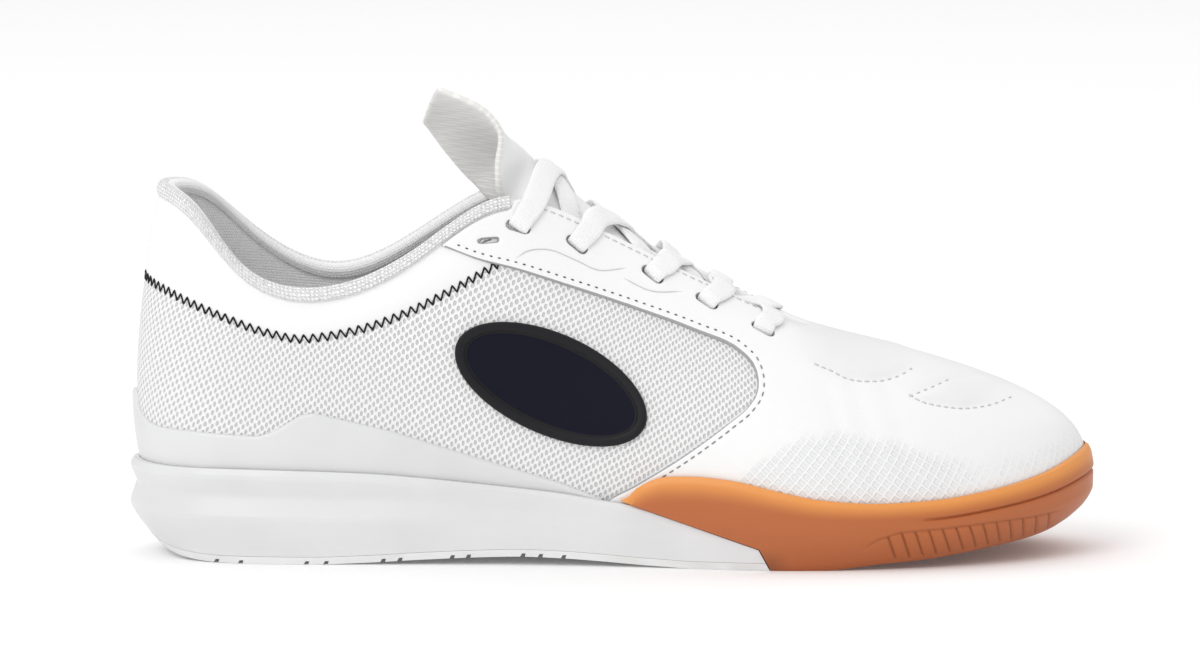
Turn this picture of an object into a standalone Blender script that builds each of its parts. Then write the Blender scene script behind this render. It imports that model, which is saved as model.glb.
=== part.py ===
"""Low indoor-court sneaker for the right foot, standing empty on its sole.

+X is the toe, -Y the outer side of the foot and +Z up. The floor is z = 0, and the origin is
under the middle of the sole.
"""

import math
from collections import namedtuple

import bmesh
import bpy
import numpy as np

MM = 0.001

# Driving sizes in millimetres
LENGTH = 295.5
BALL_WIDTH = 102.0
INSTEP_HEIGHT = 104.0
HEEL_HEIGHT = 113.0

# Sizes that the tables below are drawn for
TABLE_LENGTH = 295.5
TABLE_WIDTH = 102.0
TABLE_INSTEP = 104.0
TABLE_HEEL = 113.0

# Thicknesses and clearances
GAP = 0.3
WALL = 1.9
COLLAR_PADDING = 1.6
OVERLAY = 1.2
OVERLAY_OUT = GAP + OVERLAY
CUP_CLEARANCE = OVERLAY_OUT + GAP
CUFF_WIDTH = 3.9
BINDING_THICK = 1.2
BINDING_CROWN = 1.0
BINDING_HEEL_SHARE = 0.45
INSOLE_THICK = 4.0
OUTSOLE_THICK = 2.2
TONGUE_THICK = 3.0
TONGUE_GAP = 0.9
LACE_WIDTH = 6.6
LACE_THICK = 1.5
LACE_LEAN = 5.0
LACE_CLEAR = 0.6
LACED = 5
BADGE_THICK = 1.2

# Number of sections round the shoe and of bands up its wall
ROUND = 66
BANDS = 5
CAP_COLUMNS = 2

# Centring of the finished shoe over the origin
SHIFT_X = 0.34
SHIFT_Y = 0.31

# One row for each section round the shoe, from the heel along the outer side to the toe and back.
# edge: where the wall meets the floor of the sole. lean and rise: how far it then goes out and up.
# top: collar or throat edge. pull, swell and drop: share of the way back to the foot of the
# section, swelling out, and drop of the wall just below that edge.
Section = namedtuple("Section", "edge_x edge_y lean rise pull swell drop top_x top_y top_z")
SECTIONS = (
    Section(-141.0, 0.0, 9.0, 17.0, 0.30, 6.0, 32.0, -138.4, 0.0, 112.6),
    Section(-131.5, -20.0, 8.6, 17.0, 0.30, 6.2, 30.0, -128.8, -16.5, 107.2),
    Section(-109.0, -27.5, 8.0, 18.0, 0.30, 6.0, 26.0, -112.5, -27.5, 89.6),
    Section(-79.0, -28.8, 8.0, 19.0, 0.30, 5.0, 24.0, -87.0, -31.0, 83.0),
    Section(-46.0, -29.5, 8.5, 23.0, 0.30, 6.5, 28.0, -56.0, -28.0, 97.0),
    Section(-26.0, -31.0, 9.0, 28.0, 0.30, 7.0, 30.0, -33.0, -22.5, 109.6),
    Section(-8.0, -33.5, 9.0, 30.0, 0.40, 6.0, 27.0, -12.0, -17.5, 103.8),
    Section(22.0, -38.7, 8.0, 30.0, 0.45, 4.0, 22.0, 12.0, -15.5, 91.6),
    Section(54.0, -45.0, 6.5, 26.0, 0.50, 3.0, 14.0, 34.0, -13.8, 80.0),
    Section(86.0, -43.2, 5.5, 22.0, 0.55, 2.5, 11.0, 49.0, -11.0, 72.0),
    Section(114.5, -32.5, 5.0, 19.0, 0.62, 1.5, 12.0, 56.0, -6.5, 69.0),
    Section(134.5, -14.5, 5.0, 18.0, 0.74, 0.0, 14.5, 58.6, -3.0, 68.4),
    Section(143.0, 6.0, 5.0, 17.5, 0.81, 0.0, 15.5, 59.3, 0.5, 68.2),
    Section(138.0, 23.0, 5.0, 18.0, 0.74, 0.0, 14.5, 58.6, 4.0, 68.4),
    Section(122.0, 36.6, 5.0, 19.0, 0.62, 1.5, 12.0, 56.0, 7.5, 69.0),
    Section(97.0, 44.0, 5.5, 22.0, 0.55, 2.5, 11.0, 49.0, 12.0, 72.0),
    Section(66.0, 43.5, 6.5, 27.0, 0.50, 3.0, 14.0, 34.0, 14.5, 80.0),
    Section(33.0, 34.5, 8.0, 31.0, 0.45, 5.0, 22.0, 12.0, 16.0, 91.6),
    Section(0.0, 27.5, 9.5, 31.0, 0.40, 7.0, 27.0, -12.0, 18.0, 103.8),
    Section(-22.0, 25.0, 10.0, 29.0, 0.30, 8.0, 30.0, -33.0, 22.5, 110.0),
    Section(-43.0, 25.0, 10.0, 24.0, 0.30, 7.5, 28.0, -56.0, 27.5, 98.2),
    Section(-77.0, 26.8, 8.5, 19.0, 0.30, 6.0, 24.0, -87.0, 30.5, 85.0),
    Section(-108.0, 27.0, 8.0, 18.0, 0.30, 6.0, 26.0, -112.5, 27.0, 97.8),
    Section(-131.5, 20.0, 8.6, 17.0, 0.30, 6.2, 30.0, -128.8, 16.5, 111.2),
)

# One row for each station along the sole: underside, floor inside the cup, lower edge of the
# overlays, top of the white and of the gum side wall, and how far the bottom edge is rolled in.
Station = namedtuple("Station", "x bottom floor tuck white_rim gum_rim roll")
STATIONS = (
    Station(-148.0, 6.2, 22.2, 26.8, 29.6, 22.0, 6.6),
    Station(-140.0, 2.7, 22.0, 26.4, 29.0, 22.0, 6.0),
    Station(-131.0, 0.9, 21.8, 26.2, 28.9, 22.0, 4.0),
    Station(-120.0, 0.1, 21.6, 26.2, 28.9, 22.0, 2.0),
    Station(-110.0, 0.0, 21.4, 26.0, 28.8, 22.0, 1.0),
    Station(-92.0, 0.0, 21.0, 25.6, 28.4, 22.0, 0.5),
    Station(-74.0, 0.6, 20.4, 25.0, 27.7, 22.0, 0.5),
    Station(-60.0, 1.4, 19.8, 23.8, 26.6, 22.0, 0.5),
    Station(-40.0, 2.3, 18.6, 21.9, 24.6, 21.0, 0.5),
    Station(-28.0, 2.6, 17.7, 20.7, 23.4, 20.5, 0.5),
    Station(-16.0, 2.3, 16.6, 19.4, 22.1, 20.3, 0.5),
    Station(-2.0, 1.5, 15.1, 17.5, 19.9, 20.2, 0.5),
    Station(3.5, 1.1, 14.5, 17.2, 19.2, 20.4, 0.5),
    Station(9.0, 0.7, 13.9, 17.0, 18.4, 25.2, 0.5),
    Station(16.0, 0.35, 13.2, 17.0, 18.0, 27.8, 0.5),
    Station(24.0, 0.0, 12.5, 17.0, 18.0, 28.0, 0.5),
    Station(34.0, 0.0, 11.8, 17.0, 18.0, 27.2, 0.5),
    Station(52.0, 0.0, 11.1, 17.0, 18.0, 23.4, 1.2),
    Station(62.0, 0.0, 11.0, 17.0, 18.0, 21.5, 2.0),
    Station(80.0, 1.7, 12.0, 17.2, 18.5, 20.3, 2.4),
    Station(95.0, 2.8, 13.6, 18.0, 19.0, 20.8, 2.8),
    Station(115.0, 5.2, 16.4, 20.6, 21.0, 23.3, 3.8),
    Station(130.0, 7.0, 19.2, 24.0, 24.0, 26.6, 5.0),
    Station(140.0, 8.7, 21.8, 27.5, 27.0, 30.4, 6.4),
    Station(148.0, 10.4, 23.6, 30.5, 29.0, 34.2, 7.6),
)

# Rows up the side wall of the sole: share of its height and how far it stands proud of the cup,
# where the wall runs plain and where it is stepped.
WallRow = namedtuple("WallRow", "share plain stepped")
WHITE_WALL = (
    WallRow(1.00, 1.6, 1.6),
    WallRow(0.95, 2.3, 2.5),
    WallRow(0.90, 2.3, 2.6),
    WallRow(0.73, 2.0, 0.8),
    WallRow(0.70, 1.9, 0.9),
    WallRow(0.50, 1.8, 2.7),
    WallRow(0.46, 1.7, 2.7),
    WallRow(0.30, 1.5, 1.8),
    WallRow(0.18, 1.3, 1.2),
    WallRow(0.00, 1.2, 0.9),
)
GUM_WALL = (
    WallRow(1.00, 1.2, 1.2),
    WallRow(0.93, 1.9, 2.0),
    WallRow(0.78, 2.2, 2.6),
    WallRow(0.73, 2.3, 2.7),
    WallRow(0.70, 2.3, 1.9),
    WallRow(0.66, 2.3, 2.6),
    WallRow(0.45, 2.2, 2.5),
    WallRow(0.22, 1.9, 2.0),
    WallRow(0.07, 1.5, 1.2),
    WallRow(0.00, 0.8, 0.4),
)
WHITE_STEPS_FADE = (-75.0, -38.0)
GUM_LIP_FADE = (84.0, 102.0)

# Side view of the joint between the white unit and the gum cup, and the gap kept there
JOINT_LINE = ((-40.0, 33.9), (3.7, 19.5), (43.5, 6.4), (47.5, -1.0))
JOINT_GAP = (0.2, 0.25)

# Side view of the edge of the vamp panel, from the collar round to the sole
PANEL_EDGE = (
    (-70.0, 103.0), (-51.9, 96.2), (-42.2, 92.4), (-29.6, 89.0), (-15.2, 84.2), (6.4, 76.8), (24.4, 70.2),
    (37.8, 64.2), (41.6, 60.6), (43.2, 56.0), (42.8, 52.0), (40.5, 48.6), (34.4, 43.6), (21.2, 34.0),
    (5.9, 24.4), (-2.2, 19.4), (-6.0, 10.0),
)

# Side view of the top edge of the heel wrap, from the back of the heel forwards
CLIP_EDGE = (
    (-160.0, 52.0), (-145.6, 50.0), (-144.4, 44.2), (-141.0, 41.2), (-137.5, 40.4), (-119.0, 39.5),
    (-107.5, 39.0), (-103.0, 40.4), (-94.5, 45.6), (-90.5, 46.2), (-66.3, 40.5), (-40.0, 32.2),
    (-16.4, 25.2), (-3.4, 20.2), (-7.4, 10.0), (-7.4, 0.0),
)

# Eyelet slots in side view, from the throat's front end to the collar; the last one is unlaced
Eyelet = namedtuple("Eyelet", "x z")
EYELETS = (
    Eyelet(44.8, 69.6), Eyelet(27.8, 78.0), Eyelet(11.4, 86.2), Eyelet(-11.6, 95.6), Eyelet(-29.2, 101.4),
    Eyelet(-38.0, 97.6),
)
EYELET_LENGTH = 7.2
EYELET_WIDTH = 2.6
EYELET_SLANT = 18.0

# Grooves across the rear tread, and the cross grooves and side ribs of the gum cup
REAR_GROOVES = (-120.9, -113.5, -93.5, -87.6, -70.3, -65.2, -49.4, -44.5, -28.0, -22.7, -15.7)
REAR_GROOVE_WIDTH = 2.3
REAR_GROOVE_DEPTH = 1.0
REAR_GROOVE_SLANT = 1.6
GUM_GROOVE_FIRST = 60.0
GUM_GROOVE_PITCH = 11.0
GUM_GROOVE_COUNT = 5
GUM_GROOVE_LENGTH = 62.0
GUM_GROOVE_WIDTH = 1.8
GUM_GROOVE_DEPTH = 1.3
RIB_FIRST = 80.0
RIB_PITCH = 5.2
RIB_COUNT = 10
RIB_WIDTH = 1.1
RIB_DEPTH = 0.7

# Height of the tongue's ridge between the throat edges
TONGUE_RIDGE = (
    (-26.0, 121.5), (-18.0, 116.2), (-3.6, 104.0), (15.4, 90.8), (30.7, 83.8), (45.0, 76.6), (52.0, 72.0),
)
TONGUE_STATIONS = (50.0, 42.0, 32.0, 22.0, 10.0, -2.0, -13.0, -21.0)
TONGUE_TUCK = 8.0

# The free end of the tongue: near edge, ridge and far edge of each section
TongueRow = namedtuple("TongueRow", "near_x near_y near_z mid_x mid_y mid_z far_x far_y far_z")
TONGUE_TIP = (
    TongueRow(-33.0, -16.0, 107.0, -25.6, -3.0, 121.8, -35.5, 16.0, 105.5),
    TongueRow(-35.0, -20.5, 117.5, -30.5, -4.0, 126.0, -42.5, 21.5, 111.5),
    TongueRow(-33.4, -22.5, 129.6, -36.5, -1.0, 128.6, -47.0, 23.0, 116.0),
    TongueRow(-37.6, -23.5, 136.8, -43.0, 0.0, 131.8, -51.0, 23.5, 121.0),
    TongueRow(-46.0, -23.0, 141.6, -50.0, 0.0, 136.2, -55.0, 23.0, 126.8),
    TongueRow(-53.0, -19.0, 144.0, -55.6, 0.0, 138.8, -58.2, 19.0, 131.2),
)

# Plain oval badge on the outer quarter
BADGE_X = -19.0
BADGE_Z = 55.0
BADGE_LENGTH = 62.0
BADGE_HEIGHT = 30.0
BADGE_TILT = -24.0


def smooth(value, low, high):
    """Ease from 0 to 1 between two limits."""
    share = np.clip((np.asarray(value, dtype=float) - low) / (high - low), 0.0, 1.0)
    return share * share * (3.0 - 2.0 * share)


def closed_spline(knots, rows):
    """Smooth curve through rows of values on a closed loop; the last knot closes the loop."""
    count = len(rows)
    step = np.diff(knots)
    matrix = np.zeros((count, count))
    right = np.zeros_like(rows)
    for here in range(count):
        before = (here - 1) % count
        after = (here + 1) % count
        matrix[here, before] += step[before]
        matrix[here, here] += 2.0 * (step[before] + step[here])
        matrix[here, after] += step[here]
        ahead = (rows[after] - rows[here]) / step[here]
        behind = (rows[here] - rows[before]) / step[before]
        right[here] = 6.0 * (ahead - behind)
    bend = np.linalg.solve(matrix, right)

    def at(place):
        place = np.mod(np.asarray(place, dtype=float), knots[-1])
        here = np.clip(np.searchsorted(knots, place, side="right") - 1, 0, count - 1)
        after = (here + 1) % count
        width = step[here][..., None]
        ahead = (place - knots[here])[..., None]
        behind = width - ahead
        return (
            (bend[here] * behind**3 + bend[after] * ahead**3) / (6.0 * width)
            + (rows[here] / width - bend[here] * width / 6.0) * behind
            + (rows[after] / width - bend[after] * width / 6.0) * ahead
        )

    return at


def open_curve(places, heights):
    """Smooth curve through points that never swings past them, so that level runs stay level."""
    places = np.asarray(places, dtype=float)
    heights = np.asarray(heights, dtype=float)
    width = np.diff(places)
    grade = np.diff(heights) / width
    slope = np.zeros_like(heights)
    for here in range(1, len(places) - 1):
        if grade[here - 1] * grade[here] > 0.0:
            first = 2.0 * width[here] + width[here - 1]
            second = width[here] + 2.0 * width[here - 1]
            slope[here] = (first + second) / (first / grade[here - 1] + second / grade[here])
    slope[0] = grade[0]
    slope[-1] = grade[-1]

    def at(place):
        place = np.clip(np.asarray(place, dtype=float), places[0], places[-1])
        here = np.clip(np.searchsorted(places, place, side="right") - 1, 0, len(width) - 1)
        share = (place - places[here]) / width[here]
        return (
            heights[here] * (1.0 + 2.0 * share) * (1.0 - share) ** 2
            + slope[here] * width[here] * share * (1.0 - share) ** 2
            + heights[here + 1] * share**2 * (3.0 - 2.0 * share)
            + slope[here + 1] * width[here] * share**2 * (share - 1.0)
        )

    return at


def station_curve(column):
    """One column of the sole's stations as a curve along the shoe."""
    stretch = LENGTH / TABLE_LENGTH
    return open_curve([row.x * stretch for row in STATIONS], [getattr(row, column) for row in STATIONS])


bottom_height = station_curve("bottom")
floor_height = station_curve("floor")
tuck_height = station_curve("tuck")
white_rim = station_curve("white_rim")
gum_rim = station_curve("gum_rim")
edge_roll = station_curve("roll")


def scaled_sections():
    """The section table, stretched to the driving sizes."""
    rows = np.array(SECTIONS)
    rows[:, [0, 7]] *= LENGTH / TABLE_LENGTH
    rows[:, [1, 2, 5, 8]] *= BALL_WIDTH / TABLE_WIDTH
    over_heel = smooth(rows[:, 7], -80.0, -40.0)
    height = HEEL_HEIGHT / TABLE_HEEL * (1.0 - over_heel) + INSTEP_HEIGHT / TABLE_INSTEP * over_heel
    rows[:, 3] *= height
    rows[:, 6] *= height
    rows[:, 9] *= height
    return rows


SECTION_ROWS = scaled_sections()
SECTION_STEPS = np.linalg.norm(np.diff(SECTION_ROWS[:, :2], axis=0, append=SECTION_ROWS[:1, :2]), axis=1)
SECTION_KNOTS = np.concatenate([[0.0], np.cumsum(SECTION_STEPS)])
LOOP = SECTION_KNOTS[-1]
section_at = closed_spline(SECTION_KNOTS, SECTION_ROWS)


def unit(vectors):
    """Vectors scaled to length one."""
    return vectors / np.maximum(np.linalg.norm(vectors, axis=-1, keepdims=True), 1e-9)


def outward(place):
    """Level direction that points out of the shoe at a section."""
    along = section_at(place + 0.5)[..., :2] - section_at(place - 0.5)[..., :2]
    level = np.stack([along[..., 1], -along[..., 0], np.zeros_like(along[..., 0])], axis=-1)
    return unit(level)


def upper_point(place, rise):
    """Point of the upper's outer face.

    The place runs round the shoe, and the rise from the sole (0) to the edge (1).
    """
    place, rise = np.broadcast_arrays(np.asarray(place, dtype=float), np.asarray(rise, dtype=float))
    row = section_at(place)
    out = outward(place)
    up = np.array([0.0, 0.0, 1.0])
    foot = np.stack([row[..., 0], row[..., 1], floor_height(row[..., 0]) + GAP], axis=-1)
    top = row[..., 7:10]
    low = foot + row[..., 2:3] * out + row[..., 3:4] * up
    back = (foot - top) * np.array([1.0, 1.0, 0.0])
    high = top + row[..., 4:5] * back + row[..., 5:6] * out - row[..., 6:7] * up
    share = rise[..., None]
    return (
        foot * (1.0 - share) ** 3
        + 3.0 * low * share * (1.0 - share) ** 2
        + 3.0 * high * share**2 * (1.0 - share)
        + top * share**3
    )


def upper_normal(place, rise):
    """Direction out of the upper's face, level at its foot so that the wall stands on the sole."""
    place, rise = np.broadcast_arrays(np.asarray(place, dtype=float), np.asarray(rise, dtype=float))
    low = np.clip(rise - 0.01, 0.0, 1.0)
    high = np.clip(rise + 0.01, 0.0, 1.0)
    along = upper_point(place + 0.4, rise) - upper_point(place - 0.4, rise)
    upward = upper_point(place, high) - upper_point(place, low)
    face = unit(np.cross(along, upward))
    level = outward(place)
    blend = smooth(rise, 0.0, 0.14)[..., None]
    return unit(level * (1.0 - blend) + face * blend)


def offset_point(place, rise, distance):
    """Point at a distance out from the upper's face."""
    away = np.asarray(distance, dtype=float)[..., None]
    return upper_point(place, rise) + upper_normal(place, rise) * away


def collar_share(place):
    """1 along the collar, 0 along the throat."""
    return 1.0 - smooth(section_at(place)[..., 7], -44.0, -24.0)


def wall_at(place, rise):
    """Thickness of the upper, padded towards the collar."""
    return WALL + COLLAR_PADDING * collar_share(place) * smooth(rise, 0.35, 0.8)


def rise_at_height(place, height):
    """Where the wall first reaches a height."""
    steps = np.linspace(0.0, 0.7, 141)
    heights = upper_point(place[:, None], steps[None, :])[..., 2]
    return np.array([np.interp(want, line, steps) for want, line in zip(height, heights)])


def rise_below_edge(place, distance):
    """Where the wall is a distance short of its top edge."""
    steps = np.linspace(0.7, 1.0, 121)
    points = upper_point(place[:, None], steps[None, :])
    length = np.linalg.norm(np.diff(points, axis=1), axis=2)[:, ::-1].cumsum(axis=1)
    return np.array([np.interp(distance, np.concatenate([[0.0], line]), steps[::-1]) for line in length])


PLACES = np.linspace(0.0, LOOP, ROUND, endpoint=False)
EDGE_X = section_at(PLACES)[:, 0]
TOP_X = section_at(PLACES)[:, 7]
TUCK = rise_at_height(PLACES, tuck_height(EDGE_X))
CUFF = rise_below_edge(PLACES, CUFF_WIDTH)
RISES = np.stack(
    [np.zeros(ROUND)]
    + [TUCK + (CUFF - TUCK) * band / BANDS for band in range(BANDS + 1)]
    + [np.ones(ROUND)]
)
TUCK_ROW = 1
CUFF_ROW = BANDS + 1
INSIDE_ROWS = [0, 2, 4, CUFF_ROW, CUFF_ROW + 1]


def on_upper(points_x, points_z, outer_side):
    """Place and rise at which the upper's outer face has a given x and z on one side."""
    points_x = np.asarray(points_x, dtype=float)
    points_z = np.asarray(points_z, dtype=float)
    half = LOOP * 0.5
    places = np.linspace(0.04, 0.96, 120) * half + (0.0 if outer_side else half)
    rises = np.linspace(0.02, 0.99, 60)
    sheet = upper_point(places[:, None], rises[None, :])
    miss_x = sheet[None, ..., 0] - points_x[:, None, None]
    miss_z = sheet[None, ..., 2] - points_z[:, None, None]
    best = (miss_x**2 + miss_z**2).reshape(len(points_x), -1).argmin(axis=1)
    place = places[best // len(rises)]
    rise = rises[best % len(rises)]
    for _ in range(12):
        here = upper_point(place, rise)[:, [0, 2]]
        by_place = (upper_point(place + 0.2, rise)[:, [0, 2]] - here) / 0.2
        by_rise = (upper_point(place, rise + 0.002)[:, [0, 2]] - here) / 0.002
        want = np.stack([points_x, points_z], axis=1) - here
        turn = by_place[:, 0] * by_rise[:, 1] - by_place[:, 1] * by_rise[:, 0]
        place = place + 0.8 * (want[:, 0] * by_rise[:, 1] - want[:, 1] * by_rise[:, 0]) / turn
        rise = rise + 0.8 * (by_place[:, 0] * want[:, 1] - by_place[:, 1] * want[:, 0]) / turn
    return place, rise


def edge_place(edge_x, outer_side):
    """Place round the shoe whose throat edge has a given x on one side."""
    places = np.linspace(0.1, 0.5, 400) * LOOP if outer_side else np.linspace(0.9, 0.5, 400) * LOOP
    edges = section_at(places)[:, 7]
    order = np.argsort(edges)
    return np.interp(edge_x, edges[order], places[order])


def new_material(name, colour, roughness):
    """Plain finish for one piece."""
    finish = bpy.data.materials.new(name)
    finish.use_nodes = True
    shader = finish.node_tree.nodes["Principled BSDF"]
    shader.inputs["Base Color"].default_value = (*colour, 1.0)
    shader.inputs["Roughness"].default_value = roughness
    shader.inputs["Metallic"].default_value = 0.0
    return finish


def new_object(name, body, finish):
    """Object from an edited mesh, with its faces turned outwards."""
    bmesh.ops.recalc_face_normals(body, faces=body.faces[:])
    mesh = bpy.data.meshes.new(name)
    body.to_mesh(mesh)
    body.free()
    mesh.shade_smooth()
    mesh.set_sharp_from_angle(angle=math.radians(40.0))
    piece = bpy.data.objects.new(name, mesh)
    bpy.context.scene.collection.objects.link(piece)
    if finish:
        mesh.materials.append(finish)
    return piece


def new_cutter(name, body):
    """Hidden tool for a Boolean."""
    cutter = new_object(name, body, None)
    cutter.display_type = "WIRE"
    cutter.hide_render = True
    return cutter


def combine(piece, tool, operation="DIFFERENCE"):
    """Cut a tool out of a piece, or join it."""
    step = piece.modifiers.new(operation.lower(), "BOOLEAN")
    step.operation = operation
    step.solver = "EXACT"
    step.object = tool


def ring_vertices(body, points):
    """Vertices for one row of points in millimetres."""
    return [body.verts.new(point * MM) for point in np.asarray(points)]


def bridge(body, first, second, closed):
    """Triangles between two rows of vertices, all cut the same way so that layers keep apart."""
    count = len(first)
    for here in range(count if closed else count - 1):
        after = (here + 1) % count
        body.faces.new((first[here], first[after], second[after]))
        body.faces.new((first[here], second[after], second[here]))


def level_cap(body, loop, height, columns):
    """Close a loop that is matched left to right, with its inside at a height along the shoe."""
    count = len(loop)
    half = count // 2
    rows = [[loop[0]]]
    for here in range(1, half):
        left = loop[here].co / MM
        right = loop[count - here].co / MM
        row = [loop[here]]
        for column in range(1, columns):
            point = left.lerp(right, column / columns)
            row.append(body.verts.new((point.x * MM, point.y * MM, float(height(point.x)) * MM)))
        rows.append(row + [loop[count - here]])
    rows.append([loop[half]])
    for first, second in zip(rows, rows[1:]):
        if len(first) == len(second):
            bridge(body, first, second, False)
            continue
        tip, row = (first[0], second) if len(first) == 1 else (second[0], first)
        for here in range(len(row) - 1):
            body.faces.new((tip, row[here], row[here + 1]))


def shell(body, outer, inner):
    """Closed plate between two matching grids of points."""
    outside = [ring_vertices(body, row) for row in outer]
    inside = [ring_vertices(body, row) for row in inner]
    for sheet in (outside, inside):
        for first, second in zip(sheet, sheet[1:]):
            bridge(body, first, second, False)
    around = [
        (outside[0], inside[0]),
        (outside[-1], inside[-1]),
        ([row[0] for row in outside], [row[0] for row in inside]),
        ([row[-1] for row in outside], [row[-1] for row in inside]),
    ]
    for first, second in around:
        bridge(body, first, second, False)


def sweep(body, sections):
    """Closed bar through a row of matching outlines."""
    rings = [ring_vertices(body, section) for section in sections]
    for first, second in zip(rings, rings[1:]):
        bridge(body, first, second, True)
    body.faces.new(rings[0])
    body.faces.new(rings[-1])


def side_prism(body, outline, reach):
    """Closed block of a side-view outline, right across the shoe."""
    left = [body.verts.new((x * MM, -reach * MM, z * MM)) for x, z in outline]
    right = [body.verts.new((x * MM, reach * MM, z * MM)) for x, z in outline]
    bridge(body, left, right, True)
    body.faces.new(left)
    body.faces.new(right)


def box(body, centre, along, across, out, sizes):
    """Block with its own directions."""
    corners = []
    for a in (-0.5, 0.5):
        for b in (-0.5, 0.5):
            for c in (-0.5, 0.5):
                point = centre + along * sizes[0] * a + across * sizes[1] * b + out * sizes[2] * c
                corners.append(body.verts.new(point * MM))
    for face in ((0, 1, 3, 2), (4, 6, 7, 5), (0, 4, 5, 1), (2, 3, 7, 6), (0, 2, 6, 4), (1, 5, 7, 3)):
        body.faces.new([corners[index] for index in face])


def proud_at(rows, share, along, fade, rising):
    """How far the side wall stands out at a share of its height."""
    shares = [row.share for row in rows][::-1]
    plain = np.interp(share, shares, [row.plain for row in rows][::-1])
    stepped = np.interp(share, shares, [row.stepped for row in rows][::-1])
    stepping = smooth(along, *fade)
    stepping = stepping if rising else 1.0 - stepping
    return plain + (stepped - plain) * stepping


def rim_line(rim):
    """Points, directions and rises where the cup's rim runs round the upper."""
    rise = rise_at_height(PLACES, rim(EDGE_X))
    for _ in range(3):
        rise = rise_at_height(PLACES, rim(upper_point(PLACES, rise)[:, 0]))
    line = upper_point(PLACES, rise)
    along = np.roll(line, -1, axis=0) - np.roll(line, 1, axis=0)
    out = unit(np.stack([along[:, 1], -along[:, 0], np.zeros(ROUND)], axis=1))
    return line, out, rise


def wall_ring(rim, rows, fade, rising, share):
    """One ring of the sole's side wall at a share of its height."""
    line, out, _ = rim_line(rim)
    along = line[:, 0]
    base = bottom_height(along)
    top = rim(along)
    share = np.broadcast_to(np.asarray(share, dtype=float), along.shape)
    proud = np.array([proud_at(rows, one, x, fade, rising) for one, x in zip(share, along)])
    rolled = edge_roll(along) * np.clip(1.0 - share / 0.45, 0.0, 1.0) ** 1.6
    ring = line + out * (CUP_CLEARANCE + proud - rolled)[:, None]
    ring[:, 2] = base + (top - base) * share
    return ring


def cup_rings(rim):
    """Rings of the cup's inside, from its floor up to the rim."""
    _, _, rise = rim_line(rim)
    rings = []
    for share in (0.0, 0.35, 0.7, 1.0):
        points = upper_point(PLACES, rise * share)
        ring = points + outward(PLACES) * CUP_CLEARANCE
        if share == 0.0:
            ring[:, 2] = floor_height(ring[:, 0])
        rings.append(ring)
    rings[-1][:, 2] = rim(rings[-1][:, 0])
    return rings


def cup(name, rim, rows, fade, rising, lowest, finish):
    """Sole unit with a floor, a rim round the upper and a shaped side."""
    body = bmesh.new()
    rings = cup_rings(rim)
    line, _, _ = rim_line(rim)
    if lowest > 0.0:
        height = rim(line[:, 0]) - bottom_height(line[:, 0])
        low_share = lowest / height
        shares = [row.share for row in rows[:-1]] + [low_share]
    else:
        shares = [row.share for row in rows]
    rings += [wall_ring(rim, rows, fade, rising, share) for share in shares]
    loops = [ring_vertices(body, ring) for ring in rings]
    for first, second in zip(loops, loops[1:]):
        bridge(body, first, second, True)
    level_cap(body, loops[0], floor_height, CAP_COLUMNS)
    level_cap(body, loops[-1], lambda along: bottom_height(along) + lowest, CAP_COLUMNS)
    return new_object(name, body, finish)


def joint_block(front, shift):
    """Everything in front of, or behind, the joint between the white unit and the gum cup."""
    line = [(x + shift[0], z + shift[1]) for x, z in JOINT_LINE]
    if front:
        corners = [(line[-1][0], -20.0), (170.0, -20.0), (170.0, 60.0), (line[0][0], 60.0)]
    else:
        corners = [(line[-1][0], -20.0), (-170.0, -20.0), (-170.0, line[0][1])]
    body = bmesh.new()
    side_prism(body, line + corners, 90.0)
    return new_cutter("front_block" if front else "rear_block", body)


def build_soles(finishes):
    """Rear outsole, midsole and gum forefoot cup."""
    half_gap = np.array(JOINT_GAP) * 0.5
    front_block = joint_block(True, -half_gap)
    rear_block = joint_block(False, half_gap)

    lowest = OUTSOLE_THICK + GAP
    midsole = cup("midsole", white_rim, WHITE_WALL, WHITE_STEPS_FADE, False, lowest, finishes["white"])
    combine(midsole, front_block)

    body = bmesh.new()
    line, _, _ = rim_line(white_rim)
    height = white_rim(line[:, 0]) - bottom_height(line[:, 0])
    loops = []
    for level in (OUTSOLE_THICK, OUTSOLE_THICK * 0.4, 0.0):
        ring = wall_ring(white_rim, WHITE_WALL, WHITE_STEPS_FADE, False, level / height)
        loops.append(ring_vertices(body, ring))
    for first, second in zip(loops, loops[1:]):
        bridge(body, first, second, True)
    level_cap(body, loops[0], lambda along: bottom_height(along) + OUTSOLE_THICK, CAP_COLUMNS)
    level_cap(body, loops[-1], bottom_height, CAP_COLUMNS)
    rear = new_object("rear_outsole", body, finishes["rubber"])
    combine(rear, front_block)
    grooves = bmesh.new()
    for groove in REAR_GROOVES:
        level = float(bottom_height(groove))
        foot = groove - REAR_GROOVE_SLANT * 0.5
        head = groove + REAR_GROOVE_SLANT * 0.5
        half = REAR_GROOVE_WIDTH * 0.5
        outline = [
            (foot - half, level - 3.0),
            (foot + half, level - 3.0),
            (head + half * 0.5, level + REAR_GROOVE_DEPTH),
            (head - half * 0.5, level + REAR_GROOVE_DEPTH),
        ]
        side_prism(grooves, outline, 90.0)
    combine(rear, new_cutter("rear_groove_tools", grooves))

    gum = cup("forefoot_outsole", gum_rim, GUM_WALL, GUM_LIP_FADE, True, 0.0, finishes["gum"])
    combine(gum, rear_block)
    combine(gum, new_cutter("gum_groove_tools", gum_tools()))
    return [midsole, rear, gum]


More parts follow.
